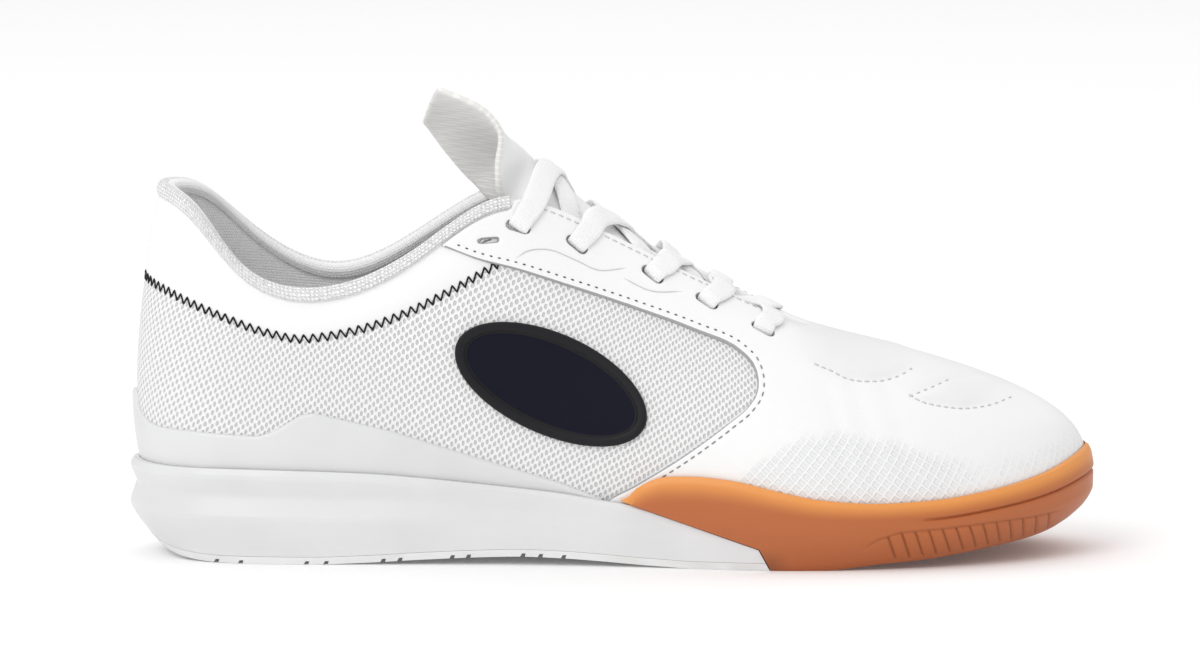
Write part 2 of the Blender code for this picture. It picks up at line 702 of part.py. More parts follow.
def gum_tools():
    """Blocks for the tread grooves and the slanted side ribs of the gum cup."""
    tools = bmesh.new()
    axes = np.eye(3)
    for number in range(GUM_GROOVE_COUNT):
        groove = GUM_GROOVE_FIRST + number * GUM_GROOVE_PITCH
        slope = float(bottom_height(groove + 1.0) - bottom_height(groove - 1.0)) * 0.5
        along = unit(np.array([1.0, 0.0, slope]))
        up = unit(np.array([-slope, 0.0, 1.0]))
        centre = np.array([groove, 0.0, float(bottom_height(groove)) + GUM_GROOVE_DEPTH]) - up * 5.0
        box(tools, centre, along, axes[1], up, (GUM_GROOVE_WIDTH, GUM_GROOVE_LENGTH, 10.0))
    low = wall_ring(gum_rim, GUM_WALL, GUM_LIP_FADE, True, 0.30)
    high = wall_ring(gum_rim, GUM_WALL, GUM_LIP_FADE, True, 0.60)
    half = ROUND // 2
    for side in (slice(4, half - 1), slice(half + 2, ROUND - 4)):
        order = np.argsort(low[side][:, 0])
        low_row = low[side][order]
        high_row = high[side][order]
        for number in range(RIB_COUNT):
            foot_x = RIB_FIRST + number * RIB_PITCH
            foot = row_point(low_row, foot_x)
            head = row_point(high_row, foot_x + 3.0)
            up = unit(head - foot)
            ahead = row_point(low_row, foot_x + 2.0) - foot
            out = unit(np.cross(ahead, up)) * (1.0 if foot[1] < 0.0 else -1.0)
            centre = (foot + head) * 0.5 + out * (2.0 - RIB_DEPTH)
            fullness = 0.55 + 0.45 * math.sin(math.pi * (number + 1) / (RIB_COUNT + 1))
            length = float(np.linalg.norm(head - foot)) * fullness
            box(tools, centre, np.cross(up, out), up, out, (RIB_WIDTH, length, 4.0))
    return tools


def row_point(row, along):
    """Point of a row, in order along the shoe, at a place along it."""
    return np.array([np.interp(along, row[:, 0], row[:, axis]) for axis in range(3)])


def build_insole(finish):
    """Loose sock liner on the floor of the sole."""
    inset = WALL + 2.0 * GAP
    outline = upper_point(PLACES, 0.0) - outward(PLACES) * inset
    body = bmesh.new()
    loops = []
    for lift, tighten in ((GAP, 0.0), (GAP + INSOLE_THICK - 0.8, 0.0), (GAP + INSOLE_THICK, 0.8)):
        ring = outline - outward(PLACES) * tighten
        ring[:, 2] = floor_height(ring[:, 0]) + lift
        loops.append(ring_vertices(body, ring))
    for first, second in zip(loops, loops[1:]):
        bridge(body, first, second, True)
    level_cap(body, loops[0], lambda along: floor_height(along) + GAP, CAP_COLUMNS)
    level_cap(body, loops[-1], lambda along: floor_height(along) + GAP + INSOLE_THICK, CAP_COLUMNS)
    return new_object("insole", body, finish)


def eyelet_tools():
    """Slots through both eyestays."""
    tools = bmesh.new()
    for outer_side in (True, False):
        places, rises = on_upper([e.x for e in EYELETS], [e.z for e in EYELETS], outer_side)
        for place, rise in zip(places, rises):
            centre = upper_point(place, rise)
            out = upper_normal(place, rise)
            ahead = unit(upper_point(place + 1.0, rise) - upper_point(place - 1.0, rise))
            ahead = ahead if ahead[0] > 0.0 else -ahead
            up = np.cross(out, ahead)
            up = up if up[2] > 0.0 else -up
            turn = math.radians(EYELET_SLANT)
            along = ahead * math.cos(turn) - up * math.sin(turn)
            across = unit(np.cross(out, along))
            straight = EYELET_LENGTH - EYELET_WIDTH
            outline = []
            for corner in range(6):
                angle = math.pi * corner / 3.0 + math.pi / 6.0
                shift = straight * 0.5 * np.sign(round(math.cos(angle), 3))
                radius = EYELET_WIDTH * 0.5
                end = along * (shift + radius * math.cos(angle))
                outline.append(centre + end + across * radius * math.sin(angle))
            sweep(tools, [np.array(outline) - out * 7.0, np.array(outline) + out * 5.0])
    return tools


def build_upper(finishes):
    """Hollow upper, vamp panel and heel wrap, all from the same section function."""
    body = bmesh.new()
    outside = [upper_point(PLACES, rises) for rises in RISES]
    inside = [offset_point(PLACES, rises, -wall_at(PLACES, rises)) for rises in RISES[INSIDE_ROWS]]
    loops = [ring_vertices(body, ring) for ring in outside + inside[::-1]]
    for first, second in zip(loops, loops[1:] + loops[:1]):
        bridge(body, first, second, True)
    upper = new_object("upper", body, finishes["mesh"])
    slots = new_cutter("eyelet_tools", eyelet_tools())
    combine(upper, slots)

    front = np.nonzero(EDGE_X > -66.0)[0]
    rises = RISES[TUCK_ROW:, front].copy()
    rises[-1] = np.where(TOP_X[front] < -31.0, rises[-2] + 0.004, 1.0)
    body = bmesh.new()
    outer = [offset_point(PLACES[front], row, np.full(len(front), OVERLAY_OUT)) for row in rises]
    inner = [offset_point(PLACES[front], row, np.full(len(front), GAP)) for row in rises]
    shell(body, outer, inner)
    vamp = new_object("vamp_overlay", body, finishes["panel"])
    window = bmesh.new()
    side_prism(window, list(PANEL_EDGE) + [(-110.0, 10.0), (-110.0, 103.0)], 90.0)
    combine(vamp, new_cutter("quarter_window", window))
    combine(vamp, slots)

    rear = order_rear()
    rises = RISES[TUCK_ROW:TUCK_ROW + 4, rear]
    body = bmesh.new()
    outer = [offset_point(PLACES[rear], row, np.full(len(rear), OVERLAY_OUT)) for row in rises]
    inner = [offset_point(PLACES[rear], row, np.full(len(rear), GAP)) for row in rises]
    shell(body, outer, inner)
    clip = new_object("heel_clip", body, finishes["white"])
    above = bmesh.new()
    side_prism(above, list(CLIP_EDGE) + [(30.0, 0.0), (30.0, 150.0), (-160.0, 150.0)], 90.0)
    combine(clip, new_cutter("clip_top", above))
    return [upper, vamp, clip]


def order_rear():
    """Sections of the rear half in order, from the inner waist round the heel to the outer waist."""
    half = ROUND // 2
    outer = [index for index in range(half) if EDGE_X[index] < 8.0]
    inner = [index for index in range(half, ROUND) if EDGE_X[index] < 8.0]
    return np.array(inner + outer)


def order_collar():
    """Sections of the collar in order, from the inner throat corner round the heel to the outer one."""
    half = ROUND // 2
    outer = [index for index in range(half) if TOP_X[index] < -30.0]
    inner = [index for index in range(half, ROUND) if TOP_X[index] < -30.0]
    return np.array(inner + outer)


def build_binding(finish):
    """Knitted tape folded over the collar edge."""
    sections = []
    for index in order_collar():
        place = PLACES[index]
        thick = wall_at(place, 1.0)
        top = upper_point(place, 1.0)
        out = upper_normal(place, 1.0)
        up = unit(top - upper_point(place, 0.97))
        low = CUFF[index] + 0.012
        past_heel = float(smooth(TOP_X[index], -138.0, -120.0))
        share = BINDING_HEEL_SHARE + (1.0 - BINDING_HEEL_SHARE) * past_heel
        flap = BINDING_THICK * share
        reach = flap + GAP
        deep = BINDING_THICK + GAP
        outside = offset_point(place, low, np.array(GAP))
        inside = offset_point(place, low, -(wall_at(place, low) + 2.0 * GAP))
        sections.append(np.array([
            outside,
            outside + upper_normal(place, low) * flap * 0.6,
            top + out * reach - up * 0.8,
            top + out * (reach - 0.8 * share) + up * (GAP + BINDING_CROWN * 0.7),
            top - out * thick * 0.5 + up * (GAP + BINDING_CROWN),
            top - out * (thick + deep - 0.8) + up * (GAP + BINDING_CROWN * 0.7),
            top - out * (thick + deep + GAP) - up * 0.8,
            inside - upper_normal(place, low) * BINDING_THICK * 0.6,
            inside,
            top - out * (thick + GAP) + up * GAP,
            top + out * GAP + up * GAP,
        ]))
    body = bmesh.new()
    sweep(body, sections)
    return new_object("collar_binding", body, finish)


TONGUE_RIDGE_AT = open_curve([row[0] for row in TONGUE_RIDGE], [row[1] for row in TONGUE_RIDGE])
CROWN_SHARES = (0.12, 0.3, 0.5, 0.7, 0.88)


def under_edge(place, below):
    """Point just under the upper, a distance below its edge."""
    rise = 1.0 if below == 0.0 else float(rise_below_edge(np.array([place]), below)[0])
    return offset_point(place, rise, -(wall_at(place, rise) + TONGUE_GAP))


def crown_point(along, share):
    """Point of the tongue's crown between the two throat edges."""
    left = edge_place(along, True)
    right = edge_place(along, False)
    start = under_edge(left, 0.0)
    end = under_edge(right, 0.0)
    rise_left = unit(upper_point(left, 1.0) - upper_point(left, 0.97))
    rise_right = unit(upper_point(right, 1.0) - upper_point(right, 0.97))
    lift = max(float(TONGUE_RIDGE_AT(along)) - 0.5 * (start[2] + end[2]), 0.5)
    handle = lift / (0.75 * 0.5 * (rise_left[2] + rise_right[2]))
    return (
        start * (1.0 - share) ** 3
        + 3.0 * (start + rise_left * handle) * share * (1.0 - share) ** 2
        + 3.0 * (end + rise_right * handle) * share**2 * (1.0 - share)
        + end * share**3
    )


def crown_normal(along, share):
    """Direction out of the tongue's crown."""
    ahead = crown_point(along + 1.0, share) - crown_point(along - 1.0, share)
    across = crown_point(along, share + 0.02) - crown_point(along, share - 0.02)
    return unit(np.cross(ahead, across))


def crown_row(along):
    """Points across the tongue at one station of the throat."""
    crown = [crown_point(along, share) for share in (0.0,) + CROWN_SHARES + (1.0,)]
    left = under_edge(edge_place(along, True), TONGUE_TUCK)
    right = under_edge(edge_place(along, False), TONGUE_TUCK)
    return np.array([left] + crown + [right])


def tongue_grid():
    """Outer face of the tongue, from under the vamp to its tip."""
    left = edge_place(TONGUE_STATIONS[0] + 3.0, True)
    right = edge_place(TONGUE_STATIONS[0] + 3.0, False)
    places = np.linspace(left, right, len(CROWN_SHARES) + 4)
    rows = [np.array([under_edge(place, TONGUE_TUCK) for place in places])]
    rows += [crown_row(along) for along in TONGUE_STATIONS]
    shares = np.concatenate([[0.0, 0.08], 0.08 + 0.84 * np.array(CROWN_SHARES), [0.92, 1.0]])
    for tip in TONGUE_TIP:
        near = np.array([tip.near_x, tip.near_y, tip.near_z])
        far = np.array([tip.far_x, tip.far_y, tip.far_z])
        bulge = 2.0 * np.array([tip.mid_x, tip.mid_y, tip.mid_z]) - 0.5 * (near + far)
        share = shares[:, None]
        rows.append(near * (1.0 - share) ** 2 + 2.0 * bulge * share * (1.0 - share) + far * share**2)
    return np.array(rows)


def grid_normals(grid):
    """Directions square to a grid of points."""
    along = np.gradient(grid, axis=0)
    across = np.gradient(grid, axis=1)
    return unit(np.cross(across, along))


TONGUE_GRID = tongue_grid()
TONGUE_NORMALS = grid_normals(TONGUE_GRID)


def build_tongue(finish):
    """Thin padded tongue."""
    body = bmesh.new()
    shell(body, TONGUE_GRID, TONGUE_GRID - TONGUE_NORMALS * TONGUE_THICK)
    return new_object("tongue", body, finish)


def over_eyestay(eyelet, outer_side):
    """Middle of the lace from an eyelet up to the throat edge, with its directions out."""
    place, rise = on_upper([eyelet.x], [eyelet.z], outer_side)
    lift = OVERLAY_OUT + LACE_CLEAR + LACE_THICK * 0.5
    path = []
    for share in (0.0, 0.5, 1.0):
        here = rise[0] + (1.0 - rise[0]) * share
        ahead = place[0] + (LACE_LEAN if outer_side else -LACE_LEAN) * share
        past_edge = (upper_point(ahead, 1.0) - upper_point(ahead, 0.99)) * (share == 1.0)
        path.append((offset_point(ahead, here, np.array(lift)) + past_edge, upper_normal(ahead, here)))
    return path


def over_tongue(start_x, end_x, shares, lifts):
    """Middle of the lace over the tongue's crown, with its directions out."""
    path = []
    for share, lift in zip(shares, lifts):
        along = start_x + (end_x - start_x) * share
        out = crown_normal(along, share)
        path.append((crown_point(along, share) + out * (lift + LACE_THICK * 0.5), out))
    return path


def ribbon(body, path):
    """Flat lace along a path."""
    points = np.array([point for point, _ in path])
    outs = np.array([out for _, out in path])
    ahead = unit(np.gradient(points, axis=0))
    across = unit(np.cross(outs, ahead))
    outs = unit(np.cross(ahead, across))
    half = LACE_WIDTH * 0.5
    thick = LACE_THICK * 0.5
    flat = half - 0.7
    corners = ((half, 0.0), (flat, thick), (-flat, thick), (-half, 0.0), (-flat, -thick), (flat, -thick))
    sections = []
    for index in range(len(points)):
        sections.append(np.array([points[index] + across[index] * a + outs[index] * b for a, b in corners]))
    sweep(body, sections)


def lace_strand(name, upper_eyelet, lower_eyelet, outer_side, finish):
    """One strand from an eyelet over the tongue to the level of the eyelet below."""
    path = over_eyestay(upper_eyelet, outer_side)
    flip = (lambda share: share) if outer_side else (lambda share: 1.0 - share)
    shares = (0.24, 0.38, 0.5, 0.66, 0.82)
    lifts = (3.6, 1.6, LACE_CLEAR, LACE_CLEAR, LACE_CLEAR)
    start = upper_eyelet.x + LACE_LEAN * 0.6
    crossing = []
    for share, lift in zip(shares, lifts):
        along = start + (lower_eyelet.x - start) * share
        out = crown_normal(along, flip(share))
        crossing.append((crown_point(along, flip(share)) + out * (lift + LACE_THICK * 0.5), out))
    body = bmesh.new()
    ribbon(body, path + crossing)
    return new_object(name, body, finish)


def build_laces(finish):
    """Crossings between the eyelets, and the bar at the lowest pair."""
    pieces = []
    for number in range(1, LACED):
        strand = lace_strand(f"lace_cross_{number}", EYELETS[number], EYELETS[number - 1], True, finish)
        other = lace_strand(f"lace_tool_{number}", EYELETS[number], EYELETS[number - 1], False, None)
        other.display_type = "WIRE"
        other.hide_render = True
        combine(strand, other, "UNION")
        pieces.append(strand)
    lowest = EYELETS[0]
    along = lowest.x + LACE_LEAN * 0.8
    shares = (0.2, 0.4, 0.6, 0.8)
    middle = over_tongue(along, along, shares, (2.6, 1.4, 1.4, 2.6))
    body = bmesh.new()
    ribbon(body, over_eyestay(lowest, True) + middle + over_eyestay(lowest, False)[::-1])
    pieces.append(new_object("lace_bar", body, finish))
    return pieces


def build_badge(name, outer_side, finish):
    """Plain raised oval on one quarter."""
    turn = math.radians(BADGE_TILT)
    rings = []
    for share in (1.0, 0.55):
        angles = np.linspace(0.0, 2.0 * math.pi, 24, endpoint=False)
        along = np.cos(angles) * BADGE_LENGTH * 0.5 * share
        up = np.sin(angles) * BADGE_HEIGHT * 0.5 * share
        x = BADGE_X + along * math.cos(turn) - up * math.sin(turn)
        z = BADGE_Z + along * math.sin(turn) + up * math.cos(turn)
        rings.append(on_upper(x, z, outer_side))
    middle = on_upper([BADGE_X], [BADGE_Z], outer_side)
    body = bmesh.new()
    faces = []
    for distance in (GAP, GAP + BADGE_THICK):
        outlines = [offset_point(place, rise, np.full(24, distance)) for place, rise in rings]
        loops = [ring_vertices(body, outline) for outline in outlines]
        centre = ring_vertices(body, offset_point(middle[0], middle[1], np.full(1, distance)))[0]
        bridge(body, loops[0], loops[1], True)
        for here in range(24):
            body.faces.new((loops[1][here], loops[1][(here + 1) % 24], centre))
        faces.append(loops[0])
    bridge(body, faces[0], faces[1], True)
    return new_object(name, body, finish)


def build():
    """Make the whole shoe."""
    for old in list(bpy.data.objects):
        bpy.data.objects.remove(old, do_unlink=True)
    finishes = {
        "white": new_material("moulded white", (0.86, 0.86, 0.87), 0.35),
        "rubber": new_material("white rubber", (0.82, 0.82, 0.82), 0.6),
        "gum": new_material("gum rubber", (0.58, 0.19, 0.045), 0.45),
        "mesh": new_material("white mesh", (0.83, 0.83, 0.85), 0.85),
        "panel": new_material("white coated panel", (0.88, 0.88, 0.89), 0.4),
        "knit": new_material("white knit tape", (0.8, 0.8, 0.82), 0.9),
        "lining": new_material("grey ribbed lining", (0.4, 0.4, 0.43), 0.9),
        "lace": new_material("white woven lace", (0.85, 0.85, 0.86), 0.8),
        "badge": new_material("black patch", (0.012, 0.012, 0.016), 0.45),
    }
    root = bpy.data.objects.new("shoe", None)
    bpy.context.scene.collection.objects.link(root)
    pieces = build_soles(finishes)
    pieces.append(build_insole(finishes["lining"]))
    pieces += build_upper(finishes)
    pieces.append(build_binding(finishes["knit"]))
    pieces.append(build_tongue(finishes["panel"]))
    pieces += build_laces(finishes["lace"])
    pieces.append(build_badge("side_badge", True, finishes["badge"]))
    for piece in bpy.data.objects:
        if piece is not root:
            piece.parent = root
    root.location = (SHIFT_X * MM, SHIFT_Y * MM, 0.0)
    return pieces


build()
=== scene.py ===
"""Looks of a low indoor-court sneaker for the right foot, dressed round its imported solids.

Sizes are in millimetres and become metres where a mesh is made. +X is the toe, -Y the outer side
of the foot and z = 0 the floor.
"""

import logging
import math
from dataclasses import dataclass
from enum import Enum
from typing import Callable, NamedTuple, Sequence

import bmesh
import bpy
import numpy as np
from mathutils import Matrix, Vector
from mathutils.kdtree import KDTree


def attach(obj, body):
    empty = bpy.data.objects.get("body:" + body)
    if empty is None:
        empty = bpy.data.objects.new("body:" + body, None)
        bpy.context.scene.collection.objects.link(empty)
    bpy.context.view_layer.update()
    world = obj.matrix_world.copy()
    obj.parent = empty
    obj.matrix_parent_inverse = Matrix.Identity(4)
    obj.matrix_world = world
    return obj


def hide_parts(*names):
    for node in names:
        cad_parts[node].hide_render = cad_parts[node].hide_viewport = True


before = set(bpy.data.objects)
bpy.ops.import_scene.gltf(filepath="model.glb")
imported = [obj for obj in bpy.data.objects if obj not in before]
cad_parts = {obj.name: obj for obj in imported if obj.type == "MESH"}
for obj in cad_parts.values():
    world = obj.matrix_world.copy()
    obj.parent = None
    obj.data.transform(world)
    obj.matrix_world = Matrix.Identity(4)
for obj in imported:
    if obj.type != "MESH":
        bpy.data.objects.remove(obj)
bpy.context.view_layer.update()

LOG = logging.getLogger("sneaker")

MM = 0.001
SHIFT = np.array([0.34, 0.31, 0.0])
Array = np.ndarray
Values = np.ndarray | float
Colour = tuple[float, float, float]
Material = bpy.types.Material

# Takes places round the shoe and rises up its wall, and gives a value for each pair
SurfaceField = Callable[[Array, Array], Array]

# Layers on the upper
GAP = 0.3
OVERLAY = 1.2
OVERLAY_OUT = GAP + OVERLAY
CUP_CLEARANCE = OVERLAY_OUT + GAP
SEATED = 0.05

# Share of its outline at which the flat of a sole's underside begins, and the angle of a sharp edge
UNDER_INSET = 0.965
SHARP_ANGLE = 40.0


class Side(Enum):
    """Side of the shoe."""

    OUTER = "outer"
    INNER = "inner"

    @property
    def other(self) -> "Side":
        """The opposite side."""
        return Side.INNER if self is Side.OUTER else Side.OUTER


class Section(NamedTuple):
    """Section of the upper: foot, how far it leans out and rises, shape below its edge, and edge."""

    edge_x: float
    edge_y: float
    lean: float
    rise: float
    pull: float
    swell: float
    drop: float
    top_x: float
    top_y: float
    top_z: float


SECTIONS = (
    Section(-141.0, 0.0, 9.0, 17.0, 0.30, 6.0, 32.0, -138.4, 0.0, 112.6),
    Section(-131.5, -20.0, 8.6, 17.0, 0.30, 6.2, 30.0, -128.8, -16.5, 107.2),
    Section(-109.0, -27.5, 8.0, 18.0, 0.30, 6.0, 26.0, -112.5, -27.5, 89.6),
    Section(-79.0, -28.8, 8.0, 19.0, 0.30, 5.0, 24.0, -87.0, -31.0, 83.0),
    Section(-46.0, -29.5, 8.5, 23.0, 0.30, 6.5, 28.0, -56.0, -28.0, 97.0),
    Section(-26.0, -31.0, 9.0, 28.0, 0.30, 7.0, 30.0, -33.0, -22.5, 109.6),
    Section(-8.0, -33.5, 9.0, 30.0, 0.40, 6.0, 27.0, -12.0, -17.5, 103.8),
    Section(22.0, -38.7, 8.0, 30.0, 0.45, 4.0, 22.0, 12.0, -15.5, 91.6),
    Section(54.0, -45.0, 6.5, 26.0, 0.50, 3.0, 14.0, 34.0, -13.8, 80.0),
    Section(86.0, -43.2, 5.5, 22.0, 0.55, 2.5, 11.0, 49.0, -11.0, 72.0),
    Section(114.5, -32.5, 5.0, 19.0, 0.62, 1.5, 12.0, 56.0, -6.5, 69.0),
    Section(134.5, -14.5, 5.0, 18.0, 0.74, 0.0, 14.5, 58.6, -3.0, 68.4),
    Section(143.0, 6.0, 5.0, 17.5, 0.81, 0.0, 15.5, 59.3, 0.5, 68.2),
    Section(138.0, 23.0, 5.0, 18.0, 0.74, 0.0, 14.5, 58.6, 4.0, 68.4),
    Section(122.0, 36.6, 5.0, 19.0, 0.62, 1.5, 12.0, 56.0, 7.5, 69.0),
    Section(97.0, 44.0, 5.5, 22.0, 0.55, 2.5, 11.0, 49.0, 12.0, 72.0),
    Section(66.0, 43.5, 6.5, 27.0, 0.50, 3.0, 14.0, 34.0, 14.5, 80.0),
    Section(33.0, 34.5, 8.0, 31.0, 0.45, 5.0, 22.0, 12.0, 16.0, 91.6),
    Section(0.0, 27.5, 9.5, 31.0, 0.40, 7.0, 27.0, -12.0, 18.0, 103.8),
    Section(-22.0, 25.0, 10.0, 29.0, 0.30, 8.0, 30.0, -33.0, 22.5, 110.0),
    Section(-43.0, 25.0, 10.0, 24.0, 0.30, 7.5, 28.0, -56.0, 27.5, 98.2),
    Section(-77.0, 26.8, 8.5, 19.0, 0.30, 6.0, 24.0, -87.0, 30.5, 85.0),
    Section(-108.0, 27.0, 8.0, 18.0, 0.30, 6.0, 26.0, -112.5, 27.0, 97.8),
    Section(-131.5, 20.0, 8.6, 17.0, 0.30, 6.2, 30.0, -128.8, 16.5, 111.2),
)
TOP_X = Section._fields.index("top_x")


class Station(NamedTuple):
    """Station along the sole: heights of its layers and the roll of its bottom edge."""

    x: float
    bottom: float
    floor: float
    tuck: float
    white_rim: float
    gum_rim: float
    roll: float


STATIONS = (
    Station(-148.0, 6.2, 22.2, 26.8, 29.6, 22.0, 6.6),
    Station(-140.0, 2.7, 22.0, 26.4, 29.0, 22.0, 6.0),
    Station(-131.0, 0.9, 21.8, 26.2, 28.9, 22.0, 4.0),
    Station(-120.0, 0.1, 21.6, 26.2, 28.9, 22.0, 2.0),
    Station(-110.0, 0.0, 21.4, 26.0, 28.8, 22.0, 1.0),
    Station(-92.0, 0.0, 21.0, 25.6, 28.4, 22.0, 0.5),
    Station(-74.0, 0.6, 20.4, 25.0, 27.7, 22.0, 0.5),
    Station(-60.0, 1.4, 19.8, 23.8, 26.6, 22.0, 0.5),
    Station(-40.0, 2.3, 18.6, 21.9, 24.6, 21.0, 0.5),
    Station(-28.0, 2.6, 17.7, 20.7, 23.4, 20.5, 0.5),
    Station(-16.0, 2.3, 16.6, 19.4, 22.1, 20.3, 0.5),
    Station(-2.0, 1.5, 15.1, 17.5, 19.9, 20.2, 0.5),
    Station(3.5, 1.1, 14.5, 17.2, 19.2, 20.4, 0.5),
    Station(9.0, 0.7, 13.9, 17.0, 18.4, 25.2, 0.5),
    Station(16.0, 0.35, 13.2, 17.0, 18.0, 27.8, 0.5),
    Station(24.0, 0.0, 12.5, 17.0, 18.0, 28.0, 0.5),
    Station(34.0, 0.0, 11.8, 17.0, 18.0, 27.2, 0.5),
    Station(52.0, 0.0, 11.1, 17.0, 18.0, 23.4, 1.2),
    Station(62.0, 0.0, 11.0, 17.0, 18.0, 21.5, 2.0),
    Station(80.0, 1.7, 12.0, 17.2, 18.5, 20.3, 2.4),
    Station(95.0, 2.8, 13.6, 18.0, 19.0, 20.8, 2.8),
    Station(115.0, 5.2, 16.4, 20.6, 21.0, 23.3, 3.8),
    Station(130.0, 7.0, 19.2, 24.0, 24.0, 26.6, 5.0),
    Station(140.0, 8.7, 21.8, 27.5, 27.0, 30.4, 6.4),
    Station(148.0, 10.4, 23.6, 30.5, 29.0, 34.2, 7.6),
)


class WallRow(NamedTuple):
    """Row up the side wall of the sole: share of its height and how far it stands proud."""

    share: float
    plain: float
    stepped: float


WHITE_WALL = (
    WallRow(1.00, 1.6, 1.6),
    WallRow(0.95, 2.3, 2.5),
    WallRow(0.90, 2.3, 2.6),
    WallRow(0.73, 2.0, 0.8),
    WallRow(0.70, 1.9, 0.9),
    WallRow(0.50, 1.8, 2.7),
    WallRow(0.46, 1.7, 2.7),
    WallRow(0.30, 1.5, 1.8),
    WallRow(0.18, 1.3, 1.2),
    WallRow(0.00, 1.2, 0.9),
)
GUM_WALL = (
    WallRow(1.00, 1.2, 1.2),
    WallRow(0.93, 1.9, 2.0),
    WallRow(0.78, 2.2, 2.6),
    WallRow(0.73, 2.3, 2.7),
    WallRow(0.70, 2.3, 1.9),
    WallRow(0.66, 2.3, 2.6),
    WallRow(0.45, 2.2, 2.5),
    WallRow(0.22, 1.9, 2.0),
    WallRow(0.07, 1.5, 1.2),
    WallRow(0.00, 0.8, 0.4),
)

# Side views, as x and z: sole joint, edge of the vamp panel, top edge of the heel wrap
JOINT_LINE = ((-40.0, 33.9), (3.7, 19.5), (43.5, 6.4), (47.5, -1.0))
PANEL_EDGE = (
    (-70.0, 103.0), (-51.9, 96.2), (-42.2, 92.4), (-29.6, 89.0), (-15.2, 84.2), (6.4, 76.8), (24.4, 70.2),
    (37.8, 64.2), (41.6, 60.6), (43.2, 56.0), (42.8, 52.0), (40.5, 48.6), (34.4, 43.6), (21.2, 34.0),
    (5.9, 24.4), (-2.2, 19.4), (-6.0, 10.0),
)
CLIP_EDGE = (
    (-160.0, 52.0), (-145.6, 50.0), (-144.4, 44.2), (-141.0, 41.2), (-137.5, 40.4), (-119.0, 39.5),
    (-107.5, 39.0), (-103.0, 40.4), (-94.5, 45.6), (-90.5, 46.2), (-66.3, 40.5), (-40.0, 32.2),
    (-16.4, 25.2), (-3.4, 20.2), (-7.4, 10.0), (-7.4, 0.0),
)
ZIGZAG_LINE = (
    (-136.6, 82.0), (-127.8, 78.4), (-117.3, 74.5), (-105.0, 70.4), (-94.5, 68.5), (-87.4, 69.2),
    (-75.1, 71.8), (-61.9, 76.6), (-48.8, 83.1), (-37.3, 89.5), (-31.4, 92.7),
)
ZIGZAG_HEEL_HEIGHT = 85.2
VAMP_SEAMS = (
    ((60.8, 59.4), (64.8, 57.9), (69.5, 55.7), (76.0, 54.4), (82.4, 54.5), (87.0, 55.4), (89.8, 56.4)),
    ((100.8, 53.0), (94.6, 51.3), (89.4, 49.9)),
    ((89.4, 49.9), (92.5, 48.2), (97.2, 46.9), (105.3, 45.6), (114.0, 45.8), (120.1, 47.0)),
)
EYESTAY_LINES = (
    ((-29.9, 92.1), (-26.5, 94.1), (-21.0, 94.5), (-11.9, 91.0), (-5.1, 87.9), (3.4, 88.2)),
    ((2.5, 85.4), (11.1, 81.4), (20.3, 80.9)),
)
# Ridge line of the toe; the painted shade on the toe's top grows above it
TOE_RIDGE = ((50.0, 70.0), (61.0, 59.0), (76.0, 54.5), (90.0, 53.0), (105.0, 46.0), (120.0, 46.0))
TOE_NET_TOP = (
    (34.0, 25.0), (44.0, 33.0), (56.0, 39.5), (68.0, 41.0), (84.0, 38.0), (97.0, 34.0), (110.0, 32.5),
    (125.0, 34.0), (140.0, 38.0),
)

# Top of the gum's ribs, as x and height over its bottom edge
RIB_TOP = (
    (72.8, 4.6), (79.3, 7.8), (86.0, 9.4), (94.6, 9.3), (104.7, 8.9), (114.8, 8.3), (124.9, 7.6),
    (134.1, 7.0), (139.0, 6.0),
)


class Eyelet(NamedTuple):
    """Middle of an eyelet slot in side view."""

    x: float
    z: float


EYELETS = (
    Eyelet(44.8, 69.6), Eyelet(27.8, 78.0), Eyelet(11.4, 86.2), Eyelet(-11.6, 95.6),
    Eyelet(-29.2, 101.4), Eyelet(-38.0, 97.6),
)
LACED = 5


class TongueRow(NamedTuple):
    """Section of the tongue's free end: near edge, ridge and far edge."""

    near_x: float
    near_y: float
    near_z: float
    mid_x: float
    mid_y: float
    mid_z: float
    far_x: float
    far_y: float
    far_z: float


TONGUE_TIP = (
    TongueRow(-33.0, -16.0, 107.0, -25.6, -3.0, 121.8, -35.5, 16.0, 105.5),
    TongueRow(-35.0, -20.5, 117.5, -30.5, -4.0, 126.0, -42.5, 21.5, 111.5),
    TongueRow(-33.4, -22.5, 129.6, -36.5, -1.0, 128.6, -47.0, 23.0, 116.0),
    TongueRow(-37.6, -23.5, 136.8, -43.0, 0.0, 131.8, -51.0, 23.5, 121.0),
    TongueRow(-46.0, -23.0, 141.6, -50.0, 0.0, 136.2, -55.0, 23.0, 126.8),
    TongueRow(-53.0, -19.0, 144.0, -55.6, 0.0, 138.8, -58.2, 19.0, 131.2),
)
TONGUE_RIDGE = (
    (-26.0, 121.5), (-18.0, 116.2), (-3.6, 104.0), (15.4, 90.8), (30.7, 83.8), (45.0, 76.6), (52.0, 72.0),
)
TONGUE_STATIONS = (50.0, 42.0, 32.0, 22.0, 10.0, -2.0, -13.0, -21.0)


def ease(value: Values, low: float, high: float) -> Array:
    """Ease from 0 to 1 between two limits.

    Args:
        value: Values to ease.
        low: Value that gives 0.
        high: Value that gives 1.

    Returns:
        Eased values.
    """
    share = np.clip((np.asarray(value, dtype=float) - low) / (high - low), 0.0, 1.0)
    return share * share * (3.0 - 2.0 * share)


def unit(vectors: Array) -> Array:
    """Vectors scaled to length one."""
    return vectors / np.maximum(np.linalg.norm(vectors, axis=-1, keepdims=True), 1e-9)


